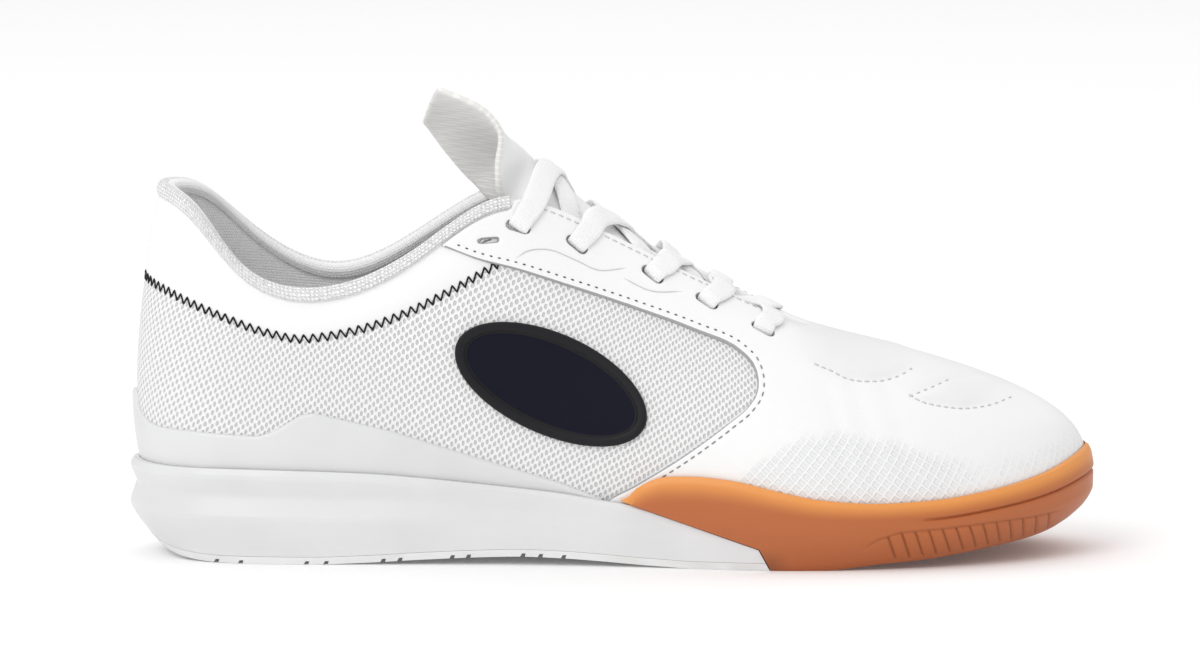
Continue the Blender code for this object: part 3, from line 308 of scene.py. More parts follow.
def run_along(points: Array, axis: int = 0) -> Array:
    """Length along lines of points, from 0 at their start.

    Args:
        points: Lines of points, with the coordinates last.
        axis: Axis that runs along the lines.

    Returns:
        Length up to each point.
    """
    steps = np.linalg.norm(np.diff(points, axis=axis), axis=-1)
    start = np.zeros_like(np.take(steps, [0], axis=axis))
    return np.concatenate([start, np.cumsum(steps, axis=axis)], axis=axis)


def hermite(ends: Sequence[Array], slopes: Sequence[Array], width: Array, share: Array) -> Array:
    """Curve between two ends with given slopes.

    Args:
        ends: Values at the two ends.
        slopes: Slopes at the two ends.
        width: Distance between the ends.
        share: Shares of the way from one end to the other.

    Returns:
        Values on the curve.
    """
    return (
        ends[0] * (1.0 + 2.0 * share) * (1.0 - share) ** 2
        + slopes[0] * width * share * (1.0 - share) ** 2
        + ends[1] * share**2 * (3.0 - 2.0 * share)
        + slopes[1] * width * share**2 * (share - 1.0)
    )


def bezier(corners: Sequence[Array], share: Array) -> Array:
    """Points of a cubic curve.

    Args:
        corners: Start, two handles and end.
        share: Shares of the way along it.

    Returns:
        Points on the curve.
    """
    start, first, second, end = corners
    return (
        start * (1.0 - share) ** 3
        + 3.0 * first * share * (1.0 - share) ** 2
        + 3.0 * second * share**2 * (1.0 - share)
        + end * share**3
    )


def loft(rows: Array, count: int) -> Array:
    """Smooth rows of points drawn through a few given rows.

    Args:
        rows: Given rows, as an array of row, point and axis.
        count: Number of rows wanted, evenly spaced.

    Returns:
        The new rows.
    """
    steps = np.linalg.norm(np.diff(rows, axis=0), axis=-1).mean(axis=1)
    places = np.concatenate([[0.0], np.cumsum(np.maximum(steps, 1e-6))])
    width = np.diff(places)[:, None, None]
    grade = np.diff(rows, axis=0) / width
    slope = np.empty_like(rows)
    slope[0] = grade[0]
    slope[-1] = grade[-1]
    slope[1:-1] = (grade[:-1] * width[1:] + grade[1:] * width[:-1]) / (width[1:] + width[:-1])
    wanted = np.linspace(0.0, places[-1], count)
    here = np.clip(np.searchsorted(places, wanted, side="right") - 1, 0, len(rows) - 2)
    share = (wanted - places[here])[:, None, None] / width[here]
    return hermite((rows[here], rows[here + 1]), (slope[here], slope[here + 1]), width[here], share)


def trace(points: Sequence[Sequence[float]] | Array, step: float) -> Array:
    """Points at even steps along a smooth curve.

    Args:
        points: Points that the curve goes through.
        step: Distance between the new points.

    Returns:
        The new points.
    """
    line = np.asarray(points, dtype=float)
    fine = loft(line[:, None, :], len(line) * 24)[:, 0]
    run = run_along(fine)
    wanted = np.linspace(0.0, run[-1], max(2, int(round(run[-1] / step)) + 1))
    return np.stack([np.interp(wanted, run, fine[:, axis]) for axis in range(line.shape[1])], axis=1)


def follow(line: Sequence[Sequence[float]], x: Array) -> Array:
    """Heights of a line of corners at places along the shoe."""
    return np.interp(x, *np.array(line).T)


def outline_distance(x: Array, z: Array, outline: Array) -> Array:
    """Distance from points to a closed side-view outline, negative inside it.

    Args:
        x: Places of the points along the shoe.
        z: Heights of the points.
        outline: Corners of the outline.

    Returns:
        Distance of each point.
    """
    nearest = np.full(x.shape, 1e9)
    inside = np.zeros(x.shape, dtype=bool)
    for (ax, az), (bx, bz) in zip(outline, np.roll(outline, -1, axis=0)):
        dx = bx - ax
        dz = bz - az
        share = np.clip(((x - ax) * dx + (z - az) * dz) / max(dx * dx + dz * dz, 1e-9), 0.0, 1.0)
        nearest = np.minimum(nearest, (x - ax - share * dx) ** 2 + (z - az - share * dz) ** 2)
        crosses = (az > z) != (bz > z)
        if abs(dz) > 1e-9:
            inside ^= crosses & (x < ax + (z - az) * dx / dz)
    return np.sqrt(nearest) * np.where(inside, -1.0, 1.0)


def rounded_lip(depth: Array, radius: float, foot: float) -> Array:
    """Share of a plate's thickness near its edge, rounded over.

    Args:
        depth: Distance in from the edge.
        radius: Distance over which the edge is rounded.
        foot: Share that is left upright at the edge.

    Returns:
        Share of the full thickness.
    """
    short = 1.0 - np.clip(depth / radius, 0.0, 1.0)
    return foot + (1.0 - foot) * np.sqrt(1.0 - short**2)


class LoopSpline:
    """Smooth curve through rows of values on a closed loop."""

    def __init__(self, knots: Array, rows: Array) -> None:
        """Solve for the curve.

        Args:
            knots: Place of each row; the last knot closes the loop.
            rows: Values at the knots.
        """
        self.knots = knots
        self.rows = rows
        self.step = np.diff(knots)
        before = np.roll(self.step, 1)
        eye = np.eye(len(rows))
        matrix = eye * (2.0 * (before + self.step))[:, None]
        matrix += np.roll(eye, -1, axis=1) * before[:, None] + np.roll(eye, 1, axis=1) * self.step[:, None]
        grade = (np.roll(rows, -1, axis=0) - rows) / self.step[:, None]
        self.bend = np.linalg.solve(matrix, 6.0 * (grade - np.roll(grade, 1, axis=0)))

    def __call__(self, place: Values) -> Array:
        """Read the curve.

        Args:
            place: Places on the loop.

        Returns:
            Values there, in one more axis.
        """
        place = np.mod(np.asarray(place, dtype=float), self.knots[-1])
        here = np.clip(np.searchsorted(self.knots, place, side="right") - 1, 0, len(self.rows) - 1)
        after = (here + 1) % len(self.rows)
        width = self.step[here][..., None]
        ahead = (place - self.knots[here])[..., None]
        behind = width - ahead
        return (
            (self.bend[here] * behind**3 + self.bend[after] * ahead**3) / (6.0 * width)
            + (self.rows[here] / width - self.bend[here] * width / 6.0) * behind
            + (self.rows[after] / width - self.bend[after] * width / 6.0) * ahead
        )


class LevelCurve:
    """Smooth curve that never swings past its points, so that level runs stay level."""

    def __init__(self, places: Sequence[float], heights: Sequence[float]) -> None:
        """Work out the slopes.

        Args:
            places: Rising places along the curve.
            heights: Height at each place.
        """
        self.places = np.asarray(places, dtype=float)
        self.heights = np.asarray(heights, dtype=float)
        self.width = np.diff(self.places)
        grade = np.diff(self.heights) / self.width
        self.slope = np.zeros_like(self.heights)
        for here in range(1, len(self.places) - 1):
            if grade[here - 1] * grade[here] > 0.0:
                first = 2.0 * self.width[here] + self.width[here - 1]
                second = self.width[here] + 2.0 * self.width[here - 1]
                mean = first / grade[here - 1] + second / grade[here]
                self.slope[here] = (first + second) / mean
        self.slope[0] = grade[0]
        self.slope[-1] = grade[-1]

    @classmethod
    def of_stations(cls, column: str) -> "LevelCurve":
        """One column of the sole's stations as a curve along the shoe."""
        return cls([row.x for row in STATIONS], [getattr(row, column) for row in STATIONS])

    def __call__(self, place: Values) -> Array:
        """Read the curve.

        Args:
            place: Places along the curve.

        Returns:
            Heights there.
        """
        place = np.clip(np.asarray(place, dtype=float), self.places[0], self.places[-1])
        here = np.clip(np.searchsorted(self.places, place, side="right") - 1, 0, len(self.width) - 1)
        share = (place - self.places[here]) / self.width[here]
        ends = (self.heights[here], self.heights[here + 1])
        return hermite(ends, (self.slope[here], self.slope[here + 1]), self.width[here], share)


@dataclass
class Last:
    """Form that the upper is drawn over.

    Place runs round the shoe, from the heel along the outer side, and rise from the sole (0) to the
    edge (1).
    """

    wall: float = 1.9
    padding: float = 1.6
    cuff_width: float = 3.9
    columns: int = 240
    bands: int = 80

    def __post_init__(self) -> None:
        """Set up the curves that every wall is worked out from."""
        rows = np.array(SECTIONS)
        knots = run_along(np.append(rows, rows[:1], axis=0)[:, :2])
        self.loop = float(knots[-1])
        self.section = LoopSpline(knots, rows)
        self.floor = LevelCurve.of_stations("floor")
        self.tuck = LevelCurve.of_stations("tuck")
        self.places = np.linspace(0.0, self.loop, self.columns + 1)
        net = self.point(self.places[:, None], np.linspace(0.0, 1.0, self.bands + 1)[None, :])
        self.runs = run_along(net, axis=1)
        self.tucks = self.rise_at_height(self.places, self.tuck(self.section(self.places)[:, 0]))
        self.cuffs = self.rise_below_edge(self.places, self.cuff_width)

    def outward(self, place: Values) -> Array:
        """Level directions out of the shoe.

        Args:
            place: Places round the shoe.

        Returns:
            A direction for each place.
        """
        place = np.asarray(place, dtype=float)
        along = self.section(place + 0.5)[..., :2] - self.section(place - 0.5)[..., :2]
        return unit(np.stack([along[..., 1], -along[..., 0], np.zeros_like(along[..., 0])], axis=-1))

    def point(self, place: Values, rise: Values) -> Array:
        """Points of the upper's outer face.

        Args:
            place: Places round the shoe.
            rise: Shares of the way up the wall.

        Returns:
            Points, one for each pair.
        """
        place, rise = np.broadcast_arrays(np.asarray(place, dtype=float), np.asarray(rise, dtype=float))
        row = self.section(place)
        out = self.outward(place)
        up = np.array([0.0, 0.0, 1.0])
        edge_x, edge_y, lean, lift, pull, swell, drop = np.moveaxis(row[..., :TOP_X, None], -2, 0)
        foot = np.concatenate([edge_x, edge_y, self.floor(edge_x) + GAP], axis=-1)
        top = row[..., TOP_X:]
        low = foot + lean * out + lift * up
        back = (foot - top) * np.array([1.0, 1.0, 0.0])
        high = top + pull * back + swell * out - drop * up
        return bezier((foot, low, high, top), rise[..., None])

    def normal(self, place: Values, rise: Values) -> Array:
        """Directions out of the upper's face, level at its foot.

        Args:
            place: Places round the shoe.
            rise: Shares of the way up the wall.

        Returns:
            Directions, one for each pair.
        """
        place, rise = np.broadcast_arrays(np.asarray(place, dtype=float), np.asarray(rise, dtype=float))
        along = self.point(place + 0.4, rise) - self.point(place - 0.4, rise)
        high = np.clip(rise + 0.01, 0.0, 1.0)
        low = np.clip(rise - 0.01, 0.0, 1.0)
        face = unit(np.cross(along, self.point(place, high) - self.point(place, low)))
        blend = ease(rise, 0.0, 0.14)[..., None]
        return unit(self.outward(place) * (1.0 - blend) + face * blend)

    def offset(self, place: Values, rise: Values, distance: Values) -> Array:
        """Points at a distance out from the upper's face."""
        away = np.asarray(distance, dtype=float)[..., None]
        return self.point(place, rise) + self.normal(place, rise) * away

    def thickness(self, place: Values, rise: Values) -> Array:
        """Thickness of the upper, padded towards the collar."""
        collar = 1.0 - ease(self.section(place)[..., TOP_X], -44.0, -24.0)
        return self.wall + self.padding * collar * ease(rise, 0.35, 0.8)

    def run_up(self, place: Array, rise: Array) -> Array:
        """Length of wall between the sole and points on it.

        Args:
            place: Places round the shoe.
            rise: Shares of the way up the wall.

        Returns:
            Lengths, one for each pair.
        """
        column = np.mod(place, self.loop) / self.loop * self.columns
        left = np.clip(column.astype(int), 0, self.columns - 1)
        step = np.clip(rise, 0.0, 1.0) * self.bands
        low = np.clip(step.astype(int), 0, self.bands - 1)
        across = column - left
        up = step - low
        first = self.runs[left, low] * (1.0 - up) + self.runs[left, low + 1] * up
        second = self.runs[left + 1, low] * (1.0 - up) + self.runs[left + 1, low + 1] * up
        return first * (1.0 - across) + second * across

    def rise_at_height(self, place: Array, height: Array) -> Array:
        """Rise at which the wall first reaches a height.

        Args:
            place: Places round the shoe.
            height: Height wanted at each place.

        Returns:
            Rises, one for each place.
        """
        steps = np.linspace(0.0, 0.9, 181)
        lines = self.point(place[:, None], steps[None, :])[..., 2]
        return np.array([np.interp(want, line, steps) for want, line in zip(height, lines)])

    def rise_below_edge(self, place: Array, distance: float) -> Array:
        """Rise at which the wall is a distance short of its top edge.

        Args:
            place: Places round the shoe.
            distance: Length of wall left above.

        Returns:
            Rises, one for each place.
        """
        steps = np.linspace(0.7, 1.0, 121)
        net = self.point(place[:, None], steps[None, :])
        runs = run_along(net[:, ::-1], axis=1)
        return np.array([np.interp(distance, run, steps[::-1]) for run in runs])

    def tuck_rise(self, place: Array) -> Array:
        """Rise of the lower edge of the overlays."""
        return np.interp(np.mod(place, self.loop), self.places, self.tucks)

    def cuff_rise(self, place: Array) -> Array:
        """Rise of the lower edge of the collar tape."""
        return np.interp(np.mod(place, self.loop), self.places, self.cuffs)

    def locate(self, x: Array, z: Array, side: Side) -> tuple[Array, Array]:
        """Where the outer face has a given x and z on one side.

        Args:
            x: Places along the shoe.
            z: Heights.
            side: Side of the shoe.

        Returns:
            Places round the shoe and rises.
        """
        x = np.asarray(x, dtype=float)
        z = np.asarray(z, dtype=float)
        half = self.loop * 0.5
        places = np.linspace(0.04, 0.96, 120) * half + (0.0 if side is Side.OUTER else half)
        rises = np.linspace(0.02, 0.99, 60)
        net = self.point(places[:, None], rises[None, :])
        best = np.empty(len(x), dtype=int)
        for number, (want_x, want_z) in enumerate(zip(x, z)):
            miss = (net[..., 0] - want_x) ** 2 + (net[..., 2] - want_z) ** 2
            best[number] = miss.argmin()
        place = places[best // len(rises)]
        rise = rises[best % len(rises)]
        for _ in range(12):
            here = self.point(place, rise)[:, [0, 2]]
            by_place = (self.point(place + 0.2, rise)[:, [0, 2]] - here) / 0.2
            by_rise = (self.point(place, rise + 0.002)[:, [0, 2]] - here) / 0.002
            want = np.stack([x, z], axis=1) - here
            turn = by_place[:, 0] * by_rise[:, 1] - by_place[:, 1] * by_rise[:, 0]
            place = place + 0.8 * (want[:, 0] * by_rise[:, 1] - want[:, 1] * by_rise[:, 0]) / turn
            rise = rise + 0.8 * (by_place[:, 0] * want[:, 1] - by_place[:, 1] * want[:, 0]) / turn
        return place, rise

    def edge_place(self, edge_x: float, side: Side) -> float:
        """Place round the shoe whose throat edge has a given x.

        Args:
            edge_x: The x wanted.
            side: Side of the shoe.

        Returns:
            The place.
        """
        ends = (0.1, 0.5) if side is Side.OUTER else (0.9, 0.5)
        places = np.linspace(*ends, 400) * self.loop
        edges = self.section(places)[:, TOP_X]
        order = np.argsort(edges)
        return float(np.interp(edge_x, edges[order], places[order]))


class Stock:
    """Points, faces and marks of one piece while it is built."""

    def __init__(self) -> None:
        """Start empty."""
        self.points: list[Array] = []
        self.faces: list[list[int]] = []
        self.tints: list[int] = []
        self.marks: dict[str, list[Array]] = {}
        self.count = 0

    def add(self, points: Array, **marks: Values) -> Array:
        """Add points with named marks that the finish reads.

        Args:
            points: Points in millimetres, in any arrangement.
            marks: Value of each mark at the points.

        Returns:
            Number of each point, in the same arrangement.
        """
        shape = points.shape[:-1]
        total = int(np.prod(shape))
        for name in set(self.marks) | set(marks):
            values = np.broadcast_to(marks.get(name, 0.0), shape).reshape(-1).astype(float)
            self.marks.setdefault(name, [np.zeros(self.count)]).append(values)
        self.points.append(np.asarray(points, dtype=float).reshape(-1, 3))
        numbers = self.count + np.arange(total).reshape(shape)
        self.count += total
        return numbers

    def face(self, numbers: Sequence[int], tint: int = 0) -> None:
        """Add one face with a finish."""
        self.faces.append([int(number) for number in numbers])
        self.tints.append(tint)

    def bridge(self, first: Array, second: Array, closed: bool = False, tint: int = 0) -> None:
        """Add faces between two matching rows of points.

        Args:
            first: Numbers of one row.
            second: Numbers of the other.
            closed: Whether the rows are loops.
            tint: Number of the faces' finish.
        """
        if closed:
            first = np.append(first, first[0])
            second = np.append(second, second[0])
        quads = np.stack([first[:-1], first[1:], second[1:], second[:-1]], axis=1)
        self.faces += quads.tolist()
        self.tints += [tint] * len(quads)

    def net(self, numbers: Sequence[Array], closed: bool = False, tint: int = 0) -> None:
        """Add faces between all the rows of a net."""
        for first, second in zip(numbers, numbers[1:]):
            self.bridge(first, second, closed, tint)

    def sweep(self, sections: Array, **marks: Values) -> None:
        """Add a closed bar through matching outlines.

        Args:
            sections: Outlines, as an array of outline, corner and axis.
            marks: Value of each mark at the points.
        """
        numbers = self.add(sections, **marks)
        self.net(numbers, closed=True)
        self.face(numbers[0])
        self.face(numbers[-1])

    def cap(
        self,
        loop: Array,
        ring: Array,
        height: Callable[[Array], Array],
        columns: int,
        marks: Callable[[Array], dict[str, Values]] = lambda points: {},
    ) -> None:
        """Close a loop that is matched left to right, with its inside at a height along the shoe.

        Args:
            loop: Numbers of the loop's points.
            ring: The loop's points.
            height: Height of the inside at places along the shoe.
            columns: Number of faces across.
            marks: Marks of the inside at its points.
        """
        half = len(loop) // 2
        shares = (np.arange(1, columns) / columns)[None, :, None]
        inner = ring[1:half, None, :] * (1.0 - shares) + ring[:half:-1, None, :] * shares
        inner[..., 2] = height(inner[..., 0])
        numbers = self.add(inner, **marks(inner))
        rows = np.concatenate([loop[1:half, None], numbers, loop[:half:-1, None]], axis=1)
        self.net(rows)
        for tip, row in ((loop[0], rows[0]), (loop[half], rows[-1])):
            for first, second in zip(row, row[1:]):
                self.face((tip, first, second))

    def piece(self, name: str, *finishes: Material, sharp: float = SHARP_ANGLE) -> bpy.types.Object:
        """Make the object.

        Args:
            name: Name of the piece.
            finishes: Materials, in the order of the faces' tints.
            sharp: Angle in degrees above which an edge is sharp.

        Returns:
            The object.
        """
        mesh = bpy.data.meshes.new(name)
        mesh.from_pydata(((np.concatenate(self.points) + SHIFT) * MM).tolist(), [], self.faces)
        mesh.polygons.foreach_set("material_index", self.tints)
        for mark, values in self.marks.items():
            layer = mesh.attributes.new(mark, "FLOAT", "POINT")
            layer.data.foreach_set("value", np.concatenate(values).astype(np.float32))
        body = bmesh.new()
        body.from_mesh(mesh)
        bmesh.ops.recalc_face_normals(body, faces=body.faces[:])
        body.to_mesh(mesh)
        body.free()
        mesh.shade_smooth()
        mesh.set_sharp_from_angle(angle=math.radians(sharp))
        for finish in finishes:
            mesh.materials.append(finish)
        piece = bpy.data.objects.new(name, mesh)
        bpy.context.scene.collection.objects.link(piece)
        return piece


class Patch:
    """Sheet in the last's own coordinates, cut along curves before it gets its shape."""

    RISE_SCALE = 100.0
    SLACK = 1e-4
    WELD = 0.04

    def __init__(self, places: Array, rises: Array, closed: bool = False) -> None:
        """Lay out the sheet.

        Args:
            places: Place of each column.
            rises: Rises, as an array of row and column.
            closed: Whether the last column joins the first.
        """
        grid = np.stack(
            [np.broadcast_to(places, rises.shape), rises * self.RISE_SCALE, np.zeros_like(rises)], axis=-1
        )
        numbers = np.arange(rises.size).reshape(rises.shape)
        right = np.roll(numbers, -1, axis=1) if closed else numbers[:, 1:]
        left = numbers if closed else numbers[:, :-1]
        quads = np.stack([left[:-1], right[:-1], right[1:], left[1:]], axis=-1).reshape(-1, 4)
        self.mesh = bpy.data.meshes.new("patch")
        self.mesh.from_pydata(grid.reshape(-1, 3).tolist(), [], quads.tolist())

    def coordinates(self) -> tuple[Array, Array]:
        """Read the sheet as it is now.

        Returns:
            Place and rise of every point.
        """
        flat = np.empty(len(self.mesh.vertices) * 3, dtype=np.float32)
        self.mesh.vertices.foreach_get("co", flat)
        flat = flat.reshape(-1, 3).astype(float)
        return flat[:, 0], flat[:, 1] / self.RISE_SCALE

    def split(self, depth: SurfaceField, levels: Sequence[float], drop: bool = False) -> None:
        """Split the faces along lines of equal depth.

        Args:
            depth: Depth over the sheet.
            levels: Depths of the lines.
            drop: Whether what is below the line goes.
        """
        for level in levels:
            place, rise = self.coordinates()
            flat = np.stack([place, rise * self.RISE_SCALE, depth(place, rise) - level], axis=1)
            self.mesh.vertices.foreach_set("co", flat.astype(np.float32).reshape(-1))
            body = bmesh.new()
            body.from_mesh(self.mesh)
            parts = body.verts[:] + body.edges[:] + body.faces[:]
            bmesh.ops.bisect_plane(
                body, geom=parts, dist=self.SLACK, plane_co=(0, 0, 0), plane_no=(0, 0, 1), clear_inner=drop
            )
            for vertex in body.verts:
                vertex.co.z = 0.0
            bmesh.ops.remove_doubles(body, verts=body.verts[:], dist=self.WELD)
            body.to_mesh(self.mesh)
            body.free()

    def plate(self, last: Last, outer: SurfaceField, inner: SurfaceField, **marks: SurfaceField) -> Stock:
        """Closed plate between two heights over the last.

        Args:
            last: Form that the plate follows.
            outer: Height of its outer face.
            inner: Height of its inner face, whose faces take the second finish.
            marks: Marks for the finish, over the sheet; where "cut" is 1, the third finish.

        Returns:
            The plate.
        """
        place, rise = self.coordinates()
        count = len(place)
        base = last.point(place, rise)
        out = last.normal(place, rise)
        values = {name: mark(place, rise) for name, mark in marks.items()}
        stock = Stock()
        for height in (outer, inner):
            stock.add(base + out * height(place, rise)[:, None], **values)
        corners = np.empty(len(self.mesh.loops), dtype=np.int32)
        self.mesh.loops.foreach_get("vertex_index", corners)
        starts = np.empty(len(self.mesh.polygons), dtype=np.int32)
        self.mesh.polygons.foreach_get("loop_start", starts)
        ends = np.append(starts[1:], len(corners))
        follow = np.arange(1, len(corners) + 1)
        follow[ends - 1] = starts
        after = corners[follow].astype(np.int64)
        here = corners.astype(np.int64)
        rim = ~np.isin(here * count + after, after * count + here)
        outside = [corners[start:end].tolist() for start, end in zip(starts, ends)]
        inside = [[number + count for number in reversed(face)] for face in outside]
        sides = np.stack([after[rim], here[rim], here[rim] + count, after[rim] + count], axis=1).tolist()
        stock.faces = outside + inside + sides
        # Where the cut mark is 1, faces take the third finish; on the vamp panel that is painted shade on its
        # rims
        cut = values.get("cut", np.zeros(count))
        fronts = np.minimum.reduceat(cut[here], starts) * 2.0
        rims = cut[here[rim]] * 2.0
        stock.tints = fronts.astype(int).tolist() + [1] * len(inside) + rims.astype(int).tolist()
        return stock


class Wire:
    """Output of a shader node; arithmetic on it adds Math nodes."""

    def __init__(self, bench: "Bench", socket: bpy.types.NodeSocket) -> None:
        """Wrap an output.

        Args:
            bench: Bench that the node is on.
            socket: The output.
        """
        self.bench = bench
        self.socket = socket

    def math(self, operation: str, *values: "Wire | float") -> "Wire":
        """Math node on this value and others."""
        return self.bench.math(operation, self, *values)

    def __add__(self, other: "Wire | float") -> "Wire":
        """Sum."""
        return self.math("ADD", other)

    def __sub__(self, other: "Wire | float") -> "Wire":
        """Difference."""
        return self.math("SUBTRACT", other)

    def __rsub__(self, other: float) -> "Wire":
        """Difference from a number."""
        return self.bench.math("SUBTRACT", other, self)

    def __mul__(self, other: "Wire | float") -> "Wire":
        """Product."""
        return self.math("MULTIPLY", other)

    def __truediv__(self, other: "Wire | float") -> "Wire":
        """Quotient."""
        return self.math("DIVIDE", other)

    def __pow__(self, other: float) -> "Wire":
        """Power."""
        return self.math("POWER", other)

    __radd__ = __add__
    __rmul__ = __mul__

    def cell(self) -> "Wire":
        """Place within a cell of one, from -0.5 to 0.5."""
        return self.math("FRACT") - 0.5

    def between(self, low: float, high: float) -> "Wire":
        """Ease from 0 to 1 between two limits."""
        settings = {"interpolation_type": "SMOOTHSTEP"}
        return self.bench.node("ShaderNodeMapRange", settings, {"Value": self, 1: low, 2: high})


class Bench:
    """Node tree of one finish."""

    def __init__(self, name: str) -> None:
        """Start a material with a Principled shader.

        Args:
            name: Name of the material.
        """
        self.material = bpy.data.materials.new(name)
        self.material.use_nodes = True
        self.tree = self.material.node_tree
        self.surface = self.tree.nodes["Principled BSDF"]

    def node(
        self,
        kind: str,
        settings: dict[str, object] | None = None,
        inputs: dict[str | int, "Wire | float | Sequence[float]"] | None = None,
        output: str | int = 0,
    ) -> Wire:
        """Add a node.

        Args:
            kind: Type of the node.
            settings: Its own settings, set first.
            inputs: Values or links of its sockets, by name or number.
            output: Output wanted.

        Returns:
            That output.
        """
        made = self.tree.nodes.new(kind)
        for name, value in (settings or {}).items():
            setattr(made, name, value)
        for key, value in (inputs or {}).items():
            self.feed(made.inputs[key], value)
        return Wire(self, made.outputs[output])

    def feed(self, socket: bpy.types.NodeSocket, value: "Wire | float | Sequence[float]") -> None:
        """Link a socket, or set its value.

        Args:
            socket: The socket.
            value: Output to link, or value to set.
        """
        if isinstance(value, Wire):
            self.tree.links.new(value.socket, socket)
        elif socket.type == "RGBA":
            socket.default_value = (*value, 1.0)
        else:
            socket.default_value = value

    def math(self, operation: str, *values: Wire | float) -> Wire:
        """Math node on values."""
        return self.node("ShaderNodeMath", {"operation": operation}, dict(enumerate(values)))

    def mark(self, name: str) -> Wire:
        """Mark of the mesh, in millimetres or as a share."""
        return self.node("ShaderNodeAttribute", {"attribute_name": name}, output="Fac")

    def noise(self, size: float, detail: float = 2.0) -> Wire:
        """Noise with features of about one size.

        Args:
            size: Size in millimetres.
            detail: Number of finer layers.

        Returns:
            Noise from 0 to 1.
        """
        spot = self.node("ShaderNodeTexCoord", output="Object")
        inputs = {"Vector": spot, "Scale": 1.0 / (size * MM), "Detail": detail}
        return self.node("ShaderNodeTexNoise", None, inputs, "Fac")

    def pebbles(self, size: float) -> Wire:
        """Small rounded cells of about one size.

        Args:
            size: Size in millimetres.

        Returns:
            Distance from the middle of a cell.
        """
        spot = self.node("ShaderNodeTexCoord", output="Object")
        inputs = {"Vector": spot, "Scale": 1.0 / (size * MM)}
        return self.node("ShaderNodeTexVoronoi", {"feature": "F1"}, inputs, "Distance")

    def mix(self, share: Wire, first: "Colour | Wire", second: "Colour | Wire") -> Wire:
        """Colour between two colours."""
        settings = {"data_type": "RGBA"}
        return self.node("ShaderNodeMix", settings, {0: share, 6: first, 7: second}, 2)

    def relief(self, height: Wire, depth: float, base: Wire | None = None) -> Wire:
        """Bump made of a height.

        Args:
            height: Height from 0 to 1.
            depth: Depth of the bump in millimetres.
            base: Normal that it is laid over.

        Returns:
            The bent normal.
        """
        inputs = {"Strength": 1.0, "Distance": depth * MM, "Height": height}
        if base:
            inputs["Normal"] = base
        return self.node("ShaderNodeBump", None, inputs, "Normal")

    def tread(self, pitch: float = 3.4, swing: float = 2.2, bend: float = 9.0) -> Wire:
        """Ridges of the fine wavy tread, on the underside only.

        Args:
            pitch: Distance between ridges in millimetres.
            swing: How far they wander along the shoe.
            bend: Length of a wave across the shoe, over tau.

        Returns:
            Height from 0 to 1.
        """
        wave = (self.mark("along") + (self.mark("across") / bend).math("SINE") * swing) / pitch
        return wave.cell().math("ABSOLUTE").between(0.12, 0.3) * self.mark("under")

    def finish(self, **inputs: "Wire | float | Sequence[float]") -> Material:
        """Set the surface's sockets.

        Args:
            inputs: Outputs or values by name, with underscores for spaces.

        Returns:
            The material.
        """
        for name, value in inputs.items():
            self.feed(self.surface.inputs[name.replace("_", " ")], value)
        return self.material


@dataclass(frozen=True)
class MeshFinish:
    """Open white mesh of the quarters, with a smooth panel above its zigzag seam.

    Its holes are where three rows of waves meet; steep and shallow are two of them, in waves per
    millimetre along and up.
    """

    thread: Colour = (0.87, 0.87, 0.87)
    hole: Colour = (0.585, 0.585, 0.585)
    panel: Colour = (0.89, 0.89, 0.89)
    steep: tuple[float, float] = (0.343, -0.490)
    shallow: tuple[float, float] = (0.533, 0.215)
    stray: float = 0.3

    def material(self) -> Material:
        """Make the material.

        Returns:
            The material.
        """
        bench = Bench("white mesh")
        along = bench.mark("along")
        up = bench.mark("up")
        stray = (bench.noise(2.2, 1.0) - 0.5) * self.stray
        steep = along * self.steep[0] + up * self.steep[1] + stray
        shallow = along * self.shallow[0] + up * self.shallow[1] + stray
        waves = [(row * math.tau).math("COSINE") for row in (steep, shallow, steep + shallow)]
        opening = (waves[0] + waves[1] + waves[2]).between(-0.5, 1.7)
        panel = bench.mark("collar").between(-0.35, 0.35)
        holes = opening * (1.0 - panel)
        knit = bench.noise(0.35, 1.0)
        cloud = bench.noise(14.0)
        colour = bench.mix(holes, self.thread, self.hole)
        colour = bench.mix(panel, colour, self.panel)
        height = (1.0 - holes) + knit * 0.12 + cloud * 0.1
        return bench.finish(
            Base_Color=colour,
            Roughness=0.62 + knit * 0.2 - panel * 0.12,
            Normal=bench.relief(height, 0.3),
            Sheen_Weight=0.15,
        )


@dataclass(frozen=True)
class PanelFinish:
    """Smooth white coated material of the vamp, with a raised diamond net low on the toe."""

    base: Colour = (0.885, 0.885, 0.885)
    cell_shade: Colour = (0.74, 0.75, 0.765)
    # Colour of the toe's duller pads, also used for painted shade along the toe's ridge
    pad_shade: Colour = (0.78, 0.78, 0.785)
    cell: float = 2.4
    line: float = 0.22

    def material(self) -> Material:
        """Make the material.

        Returns:
            The material.
        """
        bench = Bench("white coated panel")
        along = bench.mark("along")
        up = bench.mark("up")
        width = self.cell * math.sqrt(2.0)
        first = ((along + up) / width).cell().math("ABSOLUTE")
        second = ((along - up) / width).cell().math("ABSOLUTE")
        line = (first.math("MAXIMUM", second)).between(0.5 - self.line, 0.5 - self.line * 0.35)
        net = bench.mark("toe_net") + bench.noise(4.0) * 0.5 - 0.25
        sunk = (1.0 - line) * net.between(0.1, 0.9)
        grain = bench.pebbles(0.55)
        cloud = bench.noise(22.0)
        # Duller tone of the pads, and painted shade along the toe's ridge, both from the pad mark
        plain = bench.mix(bench.mark("pad"), self.base, self.pad_shade)
        colour = bench.mix(sunk * 0.6, plain, self.cell_shade)
        height = 1.0 - sunk
        fine = bench.relief(grain + bench.noise(0.2, 1.0) * 0.4, 0.028)
        return bench.finish(
            Base_Color=colour,
            Roughness=0.4 + cloud * 0.12 + sunk * 0.12,
            Normal=bench.relief(height, 0.18, fine),
            Coat_Weight=0.06,
        )


